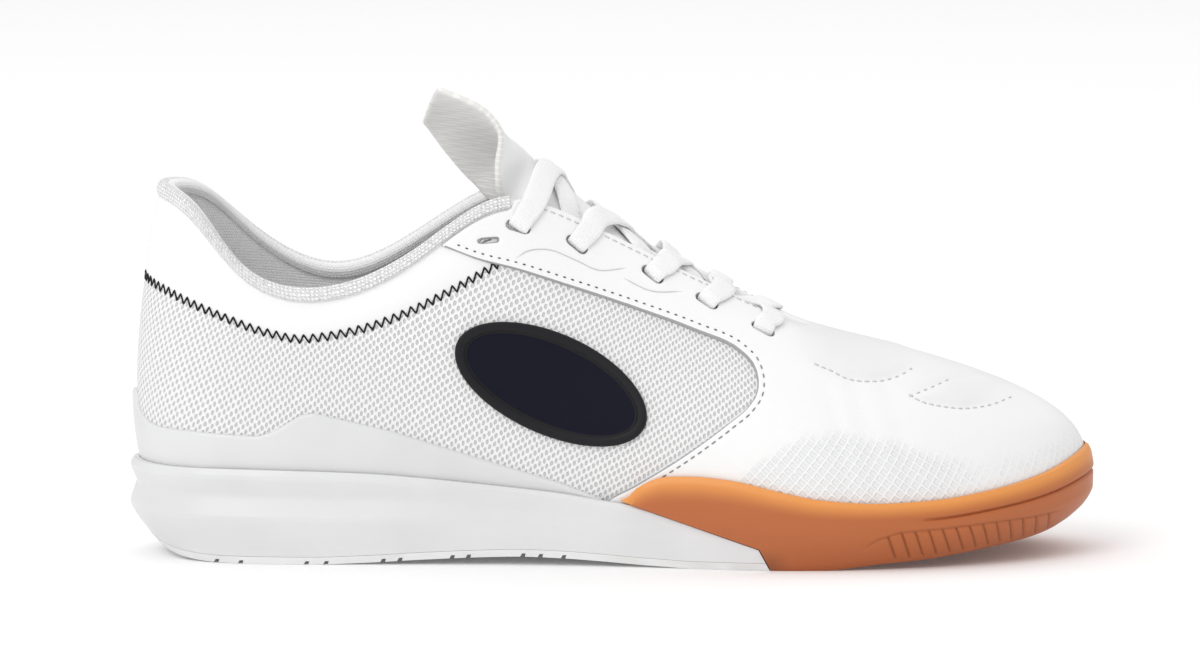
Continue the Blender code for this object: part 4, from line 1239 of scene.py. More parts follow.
@dataclass(frozen=True)
class MouldedFinish:
    """Satin white film and foam of the heel wrap and midsole."""

    name: str = "moulded white"
    base: Colour = (0.74, 0.74, 0.745)
    roughness: float = 0.34
    grain: float = 0.012

    def material(self) -> Material:
        """Make the material.

        Returns:
            The material.
        """
        bench = Bench(self.name)
        cloud = bench.noise(30.0)
        speck = bench.noise(0.6, 3.0)
        shade = tuple(channel * 0.95 for channel in self.base)
        return bench.finish(
            Base_Color=bench.mix(cloud.between(0.35, 0.7), self.base, shade),
            Roughness=self.roughness + speck * 0.14,
            Normal=bench.relief(speck, self.grain),
            Coat_Weight=0.08,
        )


@dataclass(frozen=True)
class RubberFinish:
    """White outsole rubber with a fine tread on its underside."""

    base: Colour = (0.80, 0.80, 0.80)
    worn: Colour = (0.70, 0.69, 0.68)

    def material(self) -> Material:
        """Make the material.

        Returns:
            The material.
        """
        bench = Bench("white rubber")
        speck = bench.noise(0.5, 3.0)
        return bench.finish(
            Base_Color=bench.mix(bench.noise(18.0).between(0.4, 0.75), self.base, self.worn),
            Roughness=0.52 + speck * 0.16,
            Normal=bench.relief(bench.tread() + speck * 0.04, 0.5),
        )


@dataclass(frozen=True)
class GumFinish:
    """Warm gum rubber with a painted highlight along its thin top edge, painted shade in its pressed lines
    and at its lower corner by the joint, and a fine tread underneath.
    """

    base: Colour = (0.49, 0.134, 0.032)
    deep: Colour = (0.40, 0.103, 0.025)
    # Colour of the painted highlight along the thin top edge
    edge: Colour = (0.80, 0.31, 0.07)
    # Colour of the painted shade in the pressed lines and at the lower corner by the joint
    pressed: Colour = (0.26, 0.075, 0.02)

    def material(self) -> Material:
        """Make the material.

        Returns:
            The material.
        """
        bench = Bench("gum rubber")
        share = bench.mark("share")
        cloud = bench.noise(26.0)
        speck = bench.noise(0.5, 3.0)
        colour = bench.mix((1.0 - share.between(0.0, 0.75)) * 0.6 + cloud * 0.3, self.base, self.deep)
        # Painted highlight along the gum's thin top edge
        colour = bench.mix(share.between(0.72, 0.99), colour, self.edge)
        # Painted shade in the pressed ribs, line and groove, deeper where they sink deeper
        colour = bench.mix(bench.mark("pressed").between(0.08, 0.6) * 0.65, colour, self.pressed)
        # Painted shade at the gum's lower corner by the joint
        corner = (1.0 - bench.mark("along").between(46.0, 54.0)) * (1.0 - share.between(0.08, 0.3))
        colour = bench.mix(corner * 0.8, colour, self.pressed)
        return bench.finish(
            Base_Color=colour,
            Roughness=0.4 + speck * 0.14,
            Normal=bench.relief(bench.tread() + speck * 0.03, 0.5),
            Coat_Weight=0.05,
        )


@dataclass(frozen=True)
class KnitFinish:
    """Knitted fabric: ribs, or the small loops of a tape."""

    name: str
    base: Colour
    gap: Colour
    column_pitch: float
    row_pitch: float
    depth: float
    slant: float = 0.0
    stray: float = 0.0

    def material(self) -> Material:
        """Make the material.

        Returns:
            The material.
        """
        bench = Bench(self.name)
        row = bench.mark("up") / self.row_pitch
        odd = row.math("FLOOR").math("PINGPONG", 1.0) * 0.5
        stray = (bench.noise(1.1, 2.0) - 0.5) * self.stray
        across = (bench.mark("along") / self.column_pitch + row * self.slant + odd + stray).cell()
        lengthwise = (row + stray * 0.6).cell()
        away = ((across / 0.5) ** 2.0 + (lengthwise / 0.5) ** 2.0).math("SQRT")
        loop = 1.0 - away.between(0.45, 1.1) * (1.0 - stray)
        fuzz = bench.noise(0.3, 2.0)
        return bench.finish(
            Base_Color=bench.mix(loop, self.gap, self.base),
            Roughness=0.74 + fuzz * 0.2,
            Normal=bench.relief(loop + fuzz * 0.25, self.depth),
            Sheen_Weight=0.2,
        )


@dataclass(frozen=True)
class LaceFinish:
    """Flat woven lace with slanted picks."""

    base: Colour = (0.97, 0.97, 0.97)
    gap: Colour = (0.89, 0.89, 0.89)
    pick: float = 0.7
    column: float = 0.9

    def material(self) -> Material:
        """Make the material.

        Returns:
            The material.
        """
        bench = Bench("white woven lace")
        column = bench.mark("across") / self.column
        lean = column.cell().math("ABSOLUTE")
        pick = (bench.mark("along") / self.pick + lean * 1.1).cell().math("ABSOLUTE")
        thread = 1.0 - pick.between(0.2, 0.5)
        groove = lean.between(0.34, 0.5)
        fuzz = bench.noise(0.3, 2.0)
        height = thread * (1.0 - groove * 0.7) + fuzz * 0.2
        return bench.finish(
            Base_Color=bench.mix(height.between(0.05, 0.6), self.gap, self.base),
            Roughness=0.7 + fuzz * 0.2,
            Normal=bench.relief(height, 0.1),
            Sheen_Weight=0.2,
        )


@dataclass(frozen=True)
class PlainFinish:
    """Even finish with a fine grain, for small trim."""

    name: str
    base: Colour
    roughness: float
    grain: float = 0.02
    grain_size: float = 0.4
    shine: float = 0.3

    def material(self) -> Material:
        """Make the material.

        Returns:
            The material.
        """
        bench = Bench(self.name)
        speck = bench.noise(self.grain_size, 2.0)
        shade = tuple(channel * 0.86 for channel in self.base)
        return bench.finish(
            Base_Color=bench.mix(speck.between(0.4, 0.7), self.base, shade),
            Roughness=self.roughness + speck * 0.1,
            Normal=bench.relief(speck, self.grain),
            Specular_IOR_Level=self.shine,
        )


class Finishes:
    """All the materials of the shoe."""

    def __init__(self) -> None:
        """Make each material once."""
        self.mesh = MeshFinish().material()
        self.panel = PanelFinish().material()
        self.moulded = MouldedFinish().material()
        self.rubber = RubberFinish().material()
        self.gum = GumFinish().material()
        self.lining = KnitFinish(
            "grey ribbed lining", (0.97, 0.97, 0.97), (0.88, 0.88, 0.88), 1.1, 0.9, 0.12, stray=0.8
        ).material()
        self.tape = KnitFinish(
            "white knit tape", (0.97, 0.97, 0.97), (0.76, 0.76, 0.76), 1.3, 1.1, 0.3, slant=0.5, stray=1.6
        ).material()
        self.tongue_back = KnitFinish(
            "grey tongue lining", (0.87, 0.86, 0.84), (0.78, 0.77, 0.75), 14.0, 0.95, 0.06, stray=0.3
        ).material()
        self.lace = LaceFinish().material()
        self.sock = KnitFinish(
            "pale sock liner", (0.66, 0.66, 0.68), (0.5, 0.5, 0.52), 1.1, 1.1, 0.12
        ).material()
        self.badge = PlainFinish("black patch", (0.008, 0.008, 0.010), 0.42, 0.03, 0.5, 0.25).material()
        self.inlay = PlainFinish("navy inlay", (0.006, 0.006, 0.016), 0.5, shine=0.12).material()
        self.black_thread = self.thread("black thread", (0.012, 0.012, 0.014), 0.7)
        self.grey_thread = self.thread("grey thread", (0.10, 0.10, 0.11), 0.75)
        # Grey on the vamp's rims at the window and the eyelet slots: painted shade on the panel's edge and in
        # the slots
        self.cut_edge = PlainFinish("grey cut edge", (0.40, 0.40, 0.41), 0.8, 0.03, 0.3).material()
        self.nose_thread = self.thread("pale grey thread", (0.28, 0.28, 0.29), 0.75)
        self.white_thread = self.thread("white thread", (0.62, 0.62, 0.64), 0.7)

    def thread(self, name: str, base: Colour, roughness: float) -> Material:
        """Material of a sewing thread."""
        return PlainFinish(name, base, roughness, grain=0.05, grain_size=0.25).material()


def settle(piece: bpy.types.Object, slot: str, *nodes: str) -> None:
    """Make a piece ride with the shoe and stand for its solids.

    Args:
        piece: The piece.
        slot: Material slot; not used.
        nodes: Solids that it stands for.
    """
    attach(piece, "root")
    if nodes:
        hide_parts(*nodes)
    LOG.info("%s: %d faces", piece.name, len(piece.data.polygons))


def carry_marks(whole: bpy.types.Mesh, cut: bpy.types.Mesh) -> None:
    """Give a cut mesh the marks of the whole one, from the nearest points.

    Args:
        whole: Mesh before the cut.
        cut: Mesh after it.
    """
    tree = KDTree(len(whole.vertices))
    for vertex in whole.vertices:
        tree.insert(vertex.co, vertex.index)
    tree.balance()
    found = [tree.find_n(vertex.co, 3) for vertex in cut.vertices]
    numbers = np.array([[number for _, number, _ in hits] for hits in found])
    weights = 1.0 / (np.array([[away for _, _, away in hits] for hits in found]) + 1e-7)
    weights = weights / weights.sum(axis=1, keepdims=True)
    for layer in whole.attributes:
        if layer.data_type == "FLOAT" and layer.domain == "POINT":
            values = np.empty(len(whole.vertices), dtype=np.float32)
            layer.data.foreach_get("value", values)
            carried = (values[numbers] * weights).sum(axis=1)
            cut.attributes[layer.name].data.foreach_set("value", carried.astype(np.float32))


def cut_away(piece: bpy.types.Object, tools: Sequence[Stock]) -> None:
    """Cut closed tools out of a piece.

    Args:
        piece: The piece.
        tools: Shapes to take away.
    """
    cutters = [tool.piece(f"{piece.name}_tool_{number}") for number, tool in enumerate(tools)]
    for cutter in cutters:
        step = piece.modifiers.new("cut", "BOOLEAN")
        step.operation = "DIFFERENCE"
        step.solver = "EXACT"
        step.object = cutter
    seen = piece.evaluated_get(bpy.context.evaluated_depsgraph_get())
    made = bpy.data.meshes.new_from_object(seen)
    piece.modifiers.clear()
    old = piece.data
    carry_marks(old, made)
    piece.data = made
    bpy.data.meshes.remove(old)
    for cutter in cutters:
        bpy.data.objects.remove(cutter, do_unlink=True)
    made.shade_smooth()
    made.set_sharp_from_angle(angle=math.radians(SHARP_ANGLE))


@dataclass
class EyeletSlots:
    """Slots through both eyestays."""

    last: Last
    size: tuple[float, float] = (7.2, 2.6)
    free_size: tuple[float, float] = (6.2, 1.2)
    slant: float = 18.0
    reach: float = 6.0

    def __post_init__(self) -> None:
        """Place each slot on the upper."""
        self.slots: list[tuple[Array, Array, Array, Array, tuple[float, float]]] = []
        for side in Side:
            places, rises = self.last.locate([e.x for e in EYELETS], [e.z for e in EYELETS], side)
            for number, (place, rise) in enumerate(zip(places, rises)):
                out = self.last.normal(place, rise)
                ahead = unit(self.last.point(place + 1.0, rise) - self.last.point(place - 1.0, rise))
                ahead = ahead if ahead[0] > 0.0 else -ahead
                up = np.cross(out, ahead)
                up = up if up[2] > 0.0 else -up
                turn = math.radians(self.slant)
                along = ahead * math.cos(turn) - up * math.sin(turn)
                size = self.size if number < LACED else self.free_size
                across = unit(np.cross(out, along))
                self.slots.append((self.last.point(place, rise), along, across, out, size))

    def depth(self, place: Array, rise: Array) -> Array:
        """Distance to the nearest slot's edge, negative in a slot.

        Args:
            place: Places round the shoe.
            rise: Shares of the way up the wall.

        Returns:
            Distances, one for each pair.
        """
        points = self.last.point(place, rise)
        nearest = np.full(len(points), 1e3)
        for centre, along, across, out, (length, width) in self.slots:
            away = points - centre
            beyond = np.maximum(np.abs(away @ along) - (length - width) * 0.5, 0.0)
            slot = np.hypot(beyond, away @ across) - width * 0.5
            nearest = np.minimum(nearest, np.maximum(slot, np.abs(away @ out) - self.reach))
        return nearest


@dataclass
class Upper:
    """Hollow mesh upper with its lining and its padded collar."""

    last: Last
    finishes: Finishes
    slots: EyeletSlots
    columns: int = 400
    bands: int = 62
    puff: float = 0.7
    seam_depth: float = 0.4
    seam_fade: float = 14.0
    zigzag_width: float = 1.3
    zigzag_pitch: float = 2.8
    thread_radius: float = 0.29

    def __post_init__(self) -> None:
        """Find the zigzag seam on both sides and round the heel."""
        x, z = np.array(ZIGZAG_LINE).T
        outer, _ = self.last.locate(x, z, Side.OUTER)
        inner, _ = self.last.locate(x, z, Side.INNER)
        inner = inner - self.last.loop
        places = np.concatenate([inner[::-1], [0.0], outer])
        heights = np.concatenate([z[::-1], [ZIGZAG_HEEL_HEIGHT], z])
        self.seam_height = LevelCurve(places, heights)
        self.seam_ends = (float(places[0]), float(places[-1]))
        half = self.last.loop * 0.5
        self.columns_at = np.linspace(-half, half, self.columns, endpoint=False)
        self.seam_rises = self.last.rise_at_height(self.columns_at, self.seam_height(self.columns_at))

    def seam_rise(self, place: Array) -> Array:
        """Rise of the zigzag seam."""
        return np.interp(place, self.columns_at, self.seam_rises)

    def above_seam(self, place: Array, rise: Array) -> Array:
        """Distance above the zigzag seam along the wall."""
        return self.last.run_up(place, rise) - self.last.run_up(place, self.seam_rise(place))

    def outer_height(self, place: Array, rise: Array) -> Array:
        """Swelling of the padded collar and the trough of its seam.

        Args:
            place: Places round the shoe.
            rise: Shares of the way up the wall.

        Returns:
            Heights over the last.
        """
        above = self.above_seam(place, rise)
        cuff = self.last.run_up(place, self.last.cuff_rise(place))
        room = np.maximum(cuff - self.last.run_up(place, rise), 0.0)
        share = np.clip(above / np.maximum(above + room, 1.0), 0.0, 1.0)
        start, end = self.seam_ends
        inside = ease(place, start, start + self.seam_fade)
        inside = inside * (1.0 - ease(place, end - self.seam_fade, end))
        swell = self.puff * np.sin(math.pi * share) * inside
        return swell - self.seam_depth * np.exp(-((above / 1.6) ** 2)) * inside

    def build(self) -> None:
        """Make the upper."""
        rises = np.linspace(0.0, 1.0, self.bands + 1)[:, None] * np.ones(self.columns)
        patch = Patch(self.columns_at, rises, closed=True)
        patch.split(self.slots.depth, (0.0,), drop=True)
        stock = patch.plate(
            self.last,
            self.outer_height,
            lambda place, rise: -self.last.thickness(place, rise),
            along=lambda place, rise: place,
            up=self.last.run_up,
            collar=self.above_seam,
        )
        settle(stock.piece("upper_mesh", self.finishes.mesh, self.finishes.lining), "mesh", "upper")

    def zigzag(self) -> None:
        """Sew the zigzag seam."""
        fine = np.linspace(*self.seam_ends, 900)
        line = self.last.point(fine, self.seam_rise(fine))
        run = run_along(line)
        count = int(run[-1] / (self.zigzag_pitch * 0.5))
        turns = np.interp(np.arange(count + 1) * self.zigzag_pitch * 0.5, run, fine)
        swing = self.zigzag_width * np.where(np.arange(count + 1) % 2 == 0, 1.0, -1.0)
        share = np.linspace(0.0, 1.0, 6, endpoint=False)
        place = (turns[:-1, None] * (1.0 - share) + turns[1:, None] * share).reshape(-1)
        aside = (swing[:-1, None] * (1.0 - share) + swing[1:, None] * share).reshape(-1)
        height = self.seam_height(place) + aside
        rise = self.last.rise_at_height(place, height)
        sink = 0.75 - 0.9 * (np.abs(aside) / self.zigzag_width) ** 6
        path = self.last.offset(place, rise, self.outer_height(place, rise) + self.thread_radius * sink)
        stock = Stock()
        stock.sweep(round_bar(path, self.last.normal(place, rise), np.full(len(path), self.thread_radius), 7))
        settle(stock.piece("collar_zigzag", self.finishes.black_thread, sharp=80.0), "badge")


def round_bar(path: Array, outs: Array, radii: Array, sides: int) -> Array:
    """Outlines of a round bar along a path.

    Args:
        path: Middle of the bar.
        outs: A direction across it at each point.
        radii: Radius at each point.
        sides: Number of sides.

    Returns:
        Outlines, as an array of point, corner and axis.
    """
    ahead = unit(np.gradient(path, axis=0))
    across = unit(np.cross(outs, ahead))
    outs = np.cross(ahead, across)
    turns = np.linspace(0.0, 2.0 * math.pi, sides, endpoint=False)[None, :, None]
    ring = across[:, None] * np.cos(turns) + outs[:, None] * np.sin(turns)
    return path[:, None] + ring * radii[:, None, None]


@dataclass
class Overlays:
    """Vamp panel with its eyestays, and the heel wrap."""

    last: Last
    finishes: Finishes
    slots: EyeletSlots
    edge_radius: float = 0.85
    foot: float = 0.4
    puff: float = 0.45
    # Strength of the duller tone of the pads, and of the painted shade along the toe's ridge
    pad_dulling: float = 0.3
    ridge_dulling: float = 0.6
    creases: tuple[tuple[float, float, float], ...] = ((57.0, 0.35, 3.4), (66.0, 0.42, 4.0), (77.0, 0.3, 4.6))
    nose_tip: tuple[float, float] = (124.0, 52.0)
    vamp_rear: float = -66.0
    clip_front: float = 6.0
    clip_top: float = 54.0
    cut_rim: float = 0.45

    def __post_init__(self) -> None:
        """Draw the outlines of the panels."""
        corners = np.array([(-110.0, 10.0), (-110.0, 103.0)])
        self.window = np.concatenate([trace(PANEL_EDGE, 2.5), corners])
        corners = np.array([(30.0, 0.0), (30.0, 150.0), (-160.0, 150.0)])
        self.above_clip = np.concatenate([np.array(CLIP_EDGE), corners])

    def side_distance(self, place: Array, rise: Array, outline: Array) -> Array:
        """Distance to an outline in side view."""
        points = self.last.point(place, rise)
        return outline_distance(points[:, 0], points[:, 2], outline)

    def vamp_top(self, place: Array) -> Array:
        """Rise of the vamp panel's top edge, lower where the collar tape goes over it."""
        cuff = self.last.cuff_rise(place) + 0.004
        return cuff + (1.0 - cuff) * ease(self.last.section(place)[..., TOP_X], -32.0, -29.5)

    def vamp_edge(self, place: Array, rise: Array) -> Array:
        """Distance in from any cut edge of the vamp panel."""
        top = self.last.run_up(place, self.vamp_top(place)) - self.last.run_up(place, rise)
        return np.minimum(self.vamp_cut(place, rise), top + 0.02)

    def vamp_cut(self, place: Array, rise: Array) -> Array:
        """Distance in from the window and the eyelet slots."""
        return np.minimum(self.side_distance(place, rise, self.window), self.slots.depth(place, rise))

    def vamp_height(self, place: Array, rise: Array) -> Array:
        """Height of the vamp panel over the last, with its flex creases and stitch trough.

        Args:
            place: Places round the shoe.
            rise: Shares of the way up the wall.

        Returns:
            Heights over the last.
        """
        edge = self.vamp_edge(place, rise)
        window = self.side_distance(place, rise, self.window)
        points = self.last.point(place, rise)
        lip = rounded_lip(edge, self.edge_radius, self.foot)
        trough = 0.16 * np.exp(-(((window - 1.9) / 0.55) ** 2))
        crease = np.zeros(len(points))
        for x, depth, width in self.creases:
            bend = x + 0.006 * points[:, 1] ** 2
            side = ease(np.abs(points[:, 1]), 12.0, 30.0) * (1.0 - ease(points[:, 2], 52.0, 60.0))
            crease += depth * side * np.exp(-(((points[:, 0] - bend) / width) ** 2))
        plate = SEATED + (OVERLAY_OUT - SEATED) * lip
        return plate - trough - crease * ease(edge, 0.0, 3.0) + self.pads(points)

    def pads(self, points: Array) -> Array:
        """Soft pads of the toe, which rise from the troughs of its two seams.

        Args:
            points: Points of the last.

        Returns:
            Heights to add to the panel.
        """
        x = points[:, 0]
        above, inside = self.pad_depths(points)
        height = np.zeros(len(x))
        spans = ((above, (58.0, 64.0), (84.0, 92.0)), (inside, (86.0, 90.0), (104.0, 118.0)))
        for depth, start, end in spans:
            swell = self.puff * ease(depth, 0.2, 2.6) * (1.0 - ease(depth, 5.0, 13.0))
            trough = 0.3 * np.exp(-((depth / 0.8) ** 2))
            height += (swell - trough) * ease(x, *start) * (1.0 - ease(x, *end))
        return height

    def pad_depths(self, points: Array) -> tuple[Array, Array]:
        """How far points lie inside the upper pad and the nose pad of the toe.

        Args:
            points: Points of the last.

        Returns:
            Depth in the one and in the other, negative outside.
        """
        x = points[:, 0]
        upper, nose_top, nose_low = VAMP_SEAMS
        above = points[:, 2] - follow(upper, x)
        nose = np.array([*nose_top[:-1], *nose_low, self.nose_tip])
        return above, -outline_distance(x, points[:, 2], nose)

    def pad_share(self, place: Array, rise: Array) -> Array:
        """Duller tone of the toe's pads, and painted shade along its ridge where the top turns from the
        light.

        Args:
            place: Places round the shoe.
            rise: Shares of the way up the wall.

        Returns:
            Shares from 0 to 1.
        """
        points = self.last.point(place, rise)
        x = points[:, 0]
        above, inside = self.pad_depths(points)
        upper = ease(above, -0.2, 1.2) * ease(x, 50.0, 66.0) * (1.0 - ease(x, 80.0, 92.0))
        pad = np.maximum(upper, ease(inside, -0.2, 1.2) * (1.0 - ease(x, 104.0, 123.0)))
        # Painted shade along the top of the toe, growing above its ridge line
        ridge = ease(points[:, 2] - follow(TOE_RIDGE, x), -6.0, 9.0)
        ridge = ridge * ease(x, 46.0, 62.0) * (1.0 - ease(x, 118.0, 138.0))
        return self.pad_dulling * pad + self.ridge_dulling * ridge

    def toe_net(self, place: Array, rise: Array) -> Array:
        """How strongly the diamond net shows.

        Args:
            place: Places round the shoe.
            rise: Shares of the way up the wall.

        Returns:
            Shares from 0 to 1.
        """
        points = self.last.point(place, rise)
        x = points[:, 0]
        above = points[:, 2] - follow(TOE_NET_TOP, x)
        shown = (1.0 - ease(above, -5.0, 4.0)) * ease(x, 33.0, 40.0)
        return shown * (1.0 - 0.55 * ease(x, 90.0, 112.0))

    def build_vamp(self) -> None:
        """Make the vamp panel."""
        rear = self.rear_places(self.vamp_rear)
        places = np.linspace(rear[0], self.last.loop + rear[1], 470)
        low = self.last.tuck_rise(places)
        share = np.linspace(0.0, 1.0, 92)[:, None]
        patch = Patch(places, low + (self.vamp_top(places) - low) * share)
        patch.split(self.vamp_cut, (0.0,), drop=True)
        patch.split(self.vamp_edge, (0.14, 0.38, 0.85))
        stock = patch.plate(
            self.last,
            self.vamp_height,
            lambda place, rise: np.full(len(place), SEATED - 0.03),
            along=lambda place, rise: place,
            up=self.last.run_up,
            toe_net=self.toe_net,
            # Pad mark: duller pads and painted shade along the toe's ridge
            pad=self.pad_share,
            # Faces within this distance of the window and the slots take the grey painted edge shade
            cut=lambda place, rise: (self.vamp_cut(place, rise) < self.cut_rim).astype(float),
        )
        piece = stock.piece("vamp_panel", self.finishes.panel, self.finishes.panel, self.finishes.cut_edge)
        settle(piece, "panel", "vamp_overlay")

    def rear_places(self, edge_x: float) -> tuple[float, float]:
        """Places whose foot has a given x.

        Args:
            edge_x: The x wanted.

        Returns:
            The place on the outer and on the inner side, the inner one negative.
        """
        places = np.linspace(0.0, self.last.loop * 0.5, 600)
        outer = np.interp(edge_x, self.last.section(places)[:, 0], places)
        inner = np.interp(edge_x, self.last.section(-places)[:, 0], places)
        return float(outer), -float(inner)

    def clip_depth(self, place: Array, rise: Array) -> Array:
        """Distance in from the heel wrap's cut edge."""
        return self.side_distance(place, rise, self.above_clip)

    def build_clip(self) -> None:
        """Make the heel wrap."""
        front = self.rear_places(self.clip_front)
        places = np.linspace(front[1], front[0], 420)
        low = self.last.tuck_rise(places)
        high = self.last.rise_at_height(places, np.full(len(places), self.clip_top))
        share = np.linspace(0.0, 1.0, 34)[:, None]
        patch = Patch(places, low + (high - low) * share)
        patch.split(self.clip_depth, (0.0,), drop=True)
        patch.split(self.clip_depth, (0.12, 0.35, 0.8))
        stock = patch.plate(
            self.last,
            lambda place, rise: SEATED
            + (OVERLAY_OUT - SEATED) * rounded_lip(self.clip_depth(place, rise), 0.8, 0.35),
            lambda place, rise: np.full(len(place), SEATED - 0.03),
        )
        piece = stock.piece("heel_wrap", self.finishes.moulded, self.finishes.moulded)
        settle(piece, "moulded_white", "heel_clip")


@dataclass
class Stitching:
    """Rows of stitches and thin welded lines on the panels."""

    last: Last
    finishes: Finishes
    overlays: Overlays
    pitch: float = 2.55
    radius: float = 0.25
    inset: float = 1.9
    dot: float = 0.85
    dash: float = 1.6
    throat_inset: float = 2.0
    throat_ends: tuple[float, float] = (-24.0, 44.0)
    line_radius: float = 0.2

    def row(self, stock: Stock, spots: Array, side: Side, length: float) -> None:
        """Sew stitches at points in side view.

        Args:
            stock: Piece that the stitches go in.
            spots: Middles of the stitches, as x and z.
            side: Side of the shoe.
            length: Length of a stitch.
        """
        place, rise = self.last.locate(spots[:, 0], spots[:, 1], side)
        middles = self.last.point(place, rise)
        outs = self.last.normal(place, rise)
        tops = middles + outs * self.overlays.vamp_height(place, rise)[:, None]
        ahead = unit(np.gradient(middles, axis=0))
        shape = np.array([-0.5, -0.42, -0.2, 0.0, 0.2, 0.42, 0.5])
        sink = np.array([-0.9, -0.1, 0.25, 0.35, 0.25, -0.1, -0.9]) * self.radius
        fat = np.array([0.35, 0.8, 1.0, 1.0, 1.0, 0.8, 0.35]) * self.radius
        for top, out, way in zip(tops, outs, ahead):
            path = top + way * (shape * length)[:, None] + out * sink[:, None]
            stock.sweep(round_bar(path, np.broadcast_to(out, path.shape), fat, 6))

    def sew(self, name: str, thread: Material, rows: Sequence[tuple[Array, Side]], length: float) -> None:
        """Sew rows of stitches as one piece.

        Args:
            name: Name of the piece.
            thread: Its material.
            rows: Middles of the stitches of each row, and the row's side.
            length: Length of a stitch.
        """
        stock = Stock()
        for spots, side in rows:
            self.row(stock, spots, side, length)
        settle(stock.piece(name, thread, sharp=80.0), "panel")

    def panel_rows(self) -> None:
        """Sew along the edge of the vamp panel and along the throat."""
        edge = trace(PANEL_EDGE, 0.5)
        ahead = unit(np.gradient(edge, axis=0))
        inset = edge + np.stack([-ahead[:, 1], ahead[:, 0]], axis=1) * self.inset
        keep = (inset[:, 0] > -47.0) & (inset[:, 1] > 22.5)
        spots = trace(inset[keep], self.pitch)
        upper_row = spots[:, 1] > 62.0
        upper_rows = [(spots[upper_row], side) for side in Side]
        lower_rows = [(spots[~upper_row], side) for side in Side]
        self.sew("eyestay_stitches", self.finishes.grey_thread, upper_rows, self.dot)
        self.sew("nose_stitches", self.finishes.nose_thread, lower_rows, self.dash)
        rows = []
        for side in Side:
            ends = [self.last.edge_place(x, side) for x in self.throat_ends]
            places = np.linspace(*ends, 300)
            line = self.last.point(places, self.last.rise_below_edge(places, self.throat_inset))
            rows.append((trace(line[::6, [0, 2]], 2.6), side))
        self.sew("throat_stitches", self.finishes.white_thread, rows, 1.8)

    def vamp_rows(self) -> None:
        """Sew the curved seams of the vamp and lay the thin lines of the eyestays."""
        rows = [(trace(seam, 2.3), side) for seam in VAMP_SEAMS for side in Side]
        self.sew("vamp_stitches", self.finishes.white_thread, rows, 1.7)
        stock = Stock()
        for line in EYESTAY_LINES:
            spots = trace(line, 0.8)
            for side in Side:
                place, rise = self.last.locate(spots[:, 0], spots[:, 1], side)
                path = self.last.offset(place, rise, self.overlays.vamp_height(place, rise))
                number = np.arange(len(path))
                taper = np.clip(np.minimum(number, number[::-1]) / 3.0, 0.2, 1.0)
                stock.sweep(round_bar(path, self.last.normal(place, rise), self.line_radius * taper, 8))
        settle(stock.piece("eyestay_lines", self.finishes.white_thread, sharp=80.0), "panel")


@dataclass
class Badge:
    """Plain oval patch on the outer quarter, with a raised rim and a sunk middle."""

    last: Last
    finishes: Finishes
    x: float = -19.0
    z: float = 55.0
    length: float = 62.0
    height: float = 30.0
    tilt: float = -24.0
    thick: float = 1.2
    rim: float = 3.2

    def build(self) -> None:
        """Make the patch."""
        turn = math.radians(self.tilt)
        steps = 144
        angles = np.linspace(0.0, 2.0 * math.pi, steps, endpoint=False)
        insets = np.array([0.0, 0.12, 0.4, 0.9, self.rim - 0.7, self.rim - 0.4, self.rim, self.rim + 0.4])
        lifts = np.array([0.35, 0.75, 1.0, 1.05, 1.05, 0.95, 0.5, 0.45])
        insets = np.concatenate([insets, np.linspace(self.rim + 1.6, self.height * 0.5 - 0.4, 6)])
        lifts = np.concatenate([lifts, np.full(6, 0.45)]) * self.thick + GAP
        long = (self.length * 0.5 - insets)[:, None] * np.cos(angles)
        high = (self.height * 0.5 - insets)[:, None] * np.sin(angles)
        x = self.x + long * math.cos(turn) - high * math.sin(turn)
        z = self.z + long * math.sin(turn) + high * math.cos(turn)
        place, rise = self.last.locate(x.reshape(-1), z.reshape(-1), Side.OUTER)
        lift = np.repeat(lifts, steps)
        face = self.last.offset(place, rise, lift).reshape(len(insets), steps, 3)
        back = self.last.offset(place[:steps], rise[:steps], np.full(steps, SEATED))
        stock = Stock()
        numbers = stock.add(face)
        behind = stock.add(back)
        inlay_from = 7
        stock.bridge(behind, numbers[0], closed=True)
        for row in range(len(insets) - 1):
            stock.bridge(numbers[row], numbers[row + 1], closed=True, tint=int(row >= inlay_from))
        stock.face(numbers[-1], tint=1)
        stock.face(behind)
        settle(stock.piece("side_patch", self.finishes.badge, self.finishes.inlay), "badge", "side_badge")


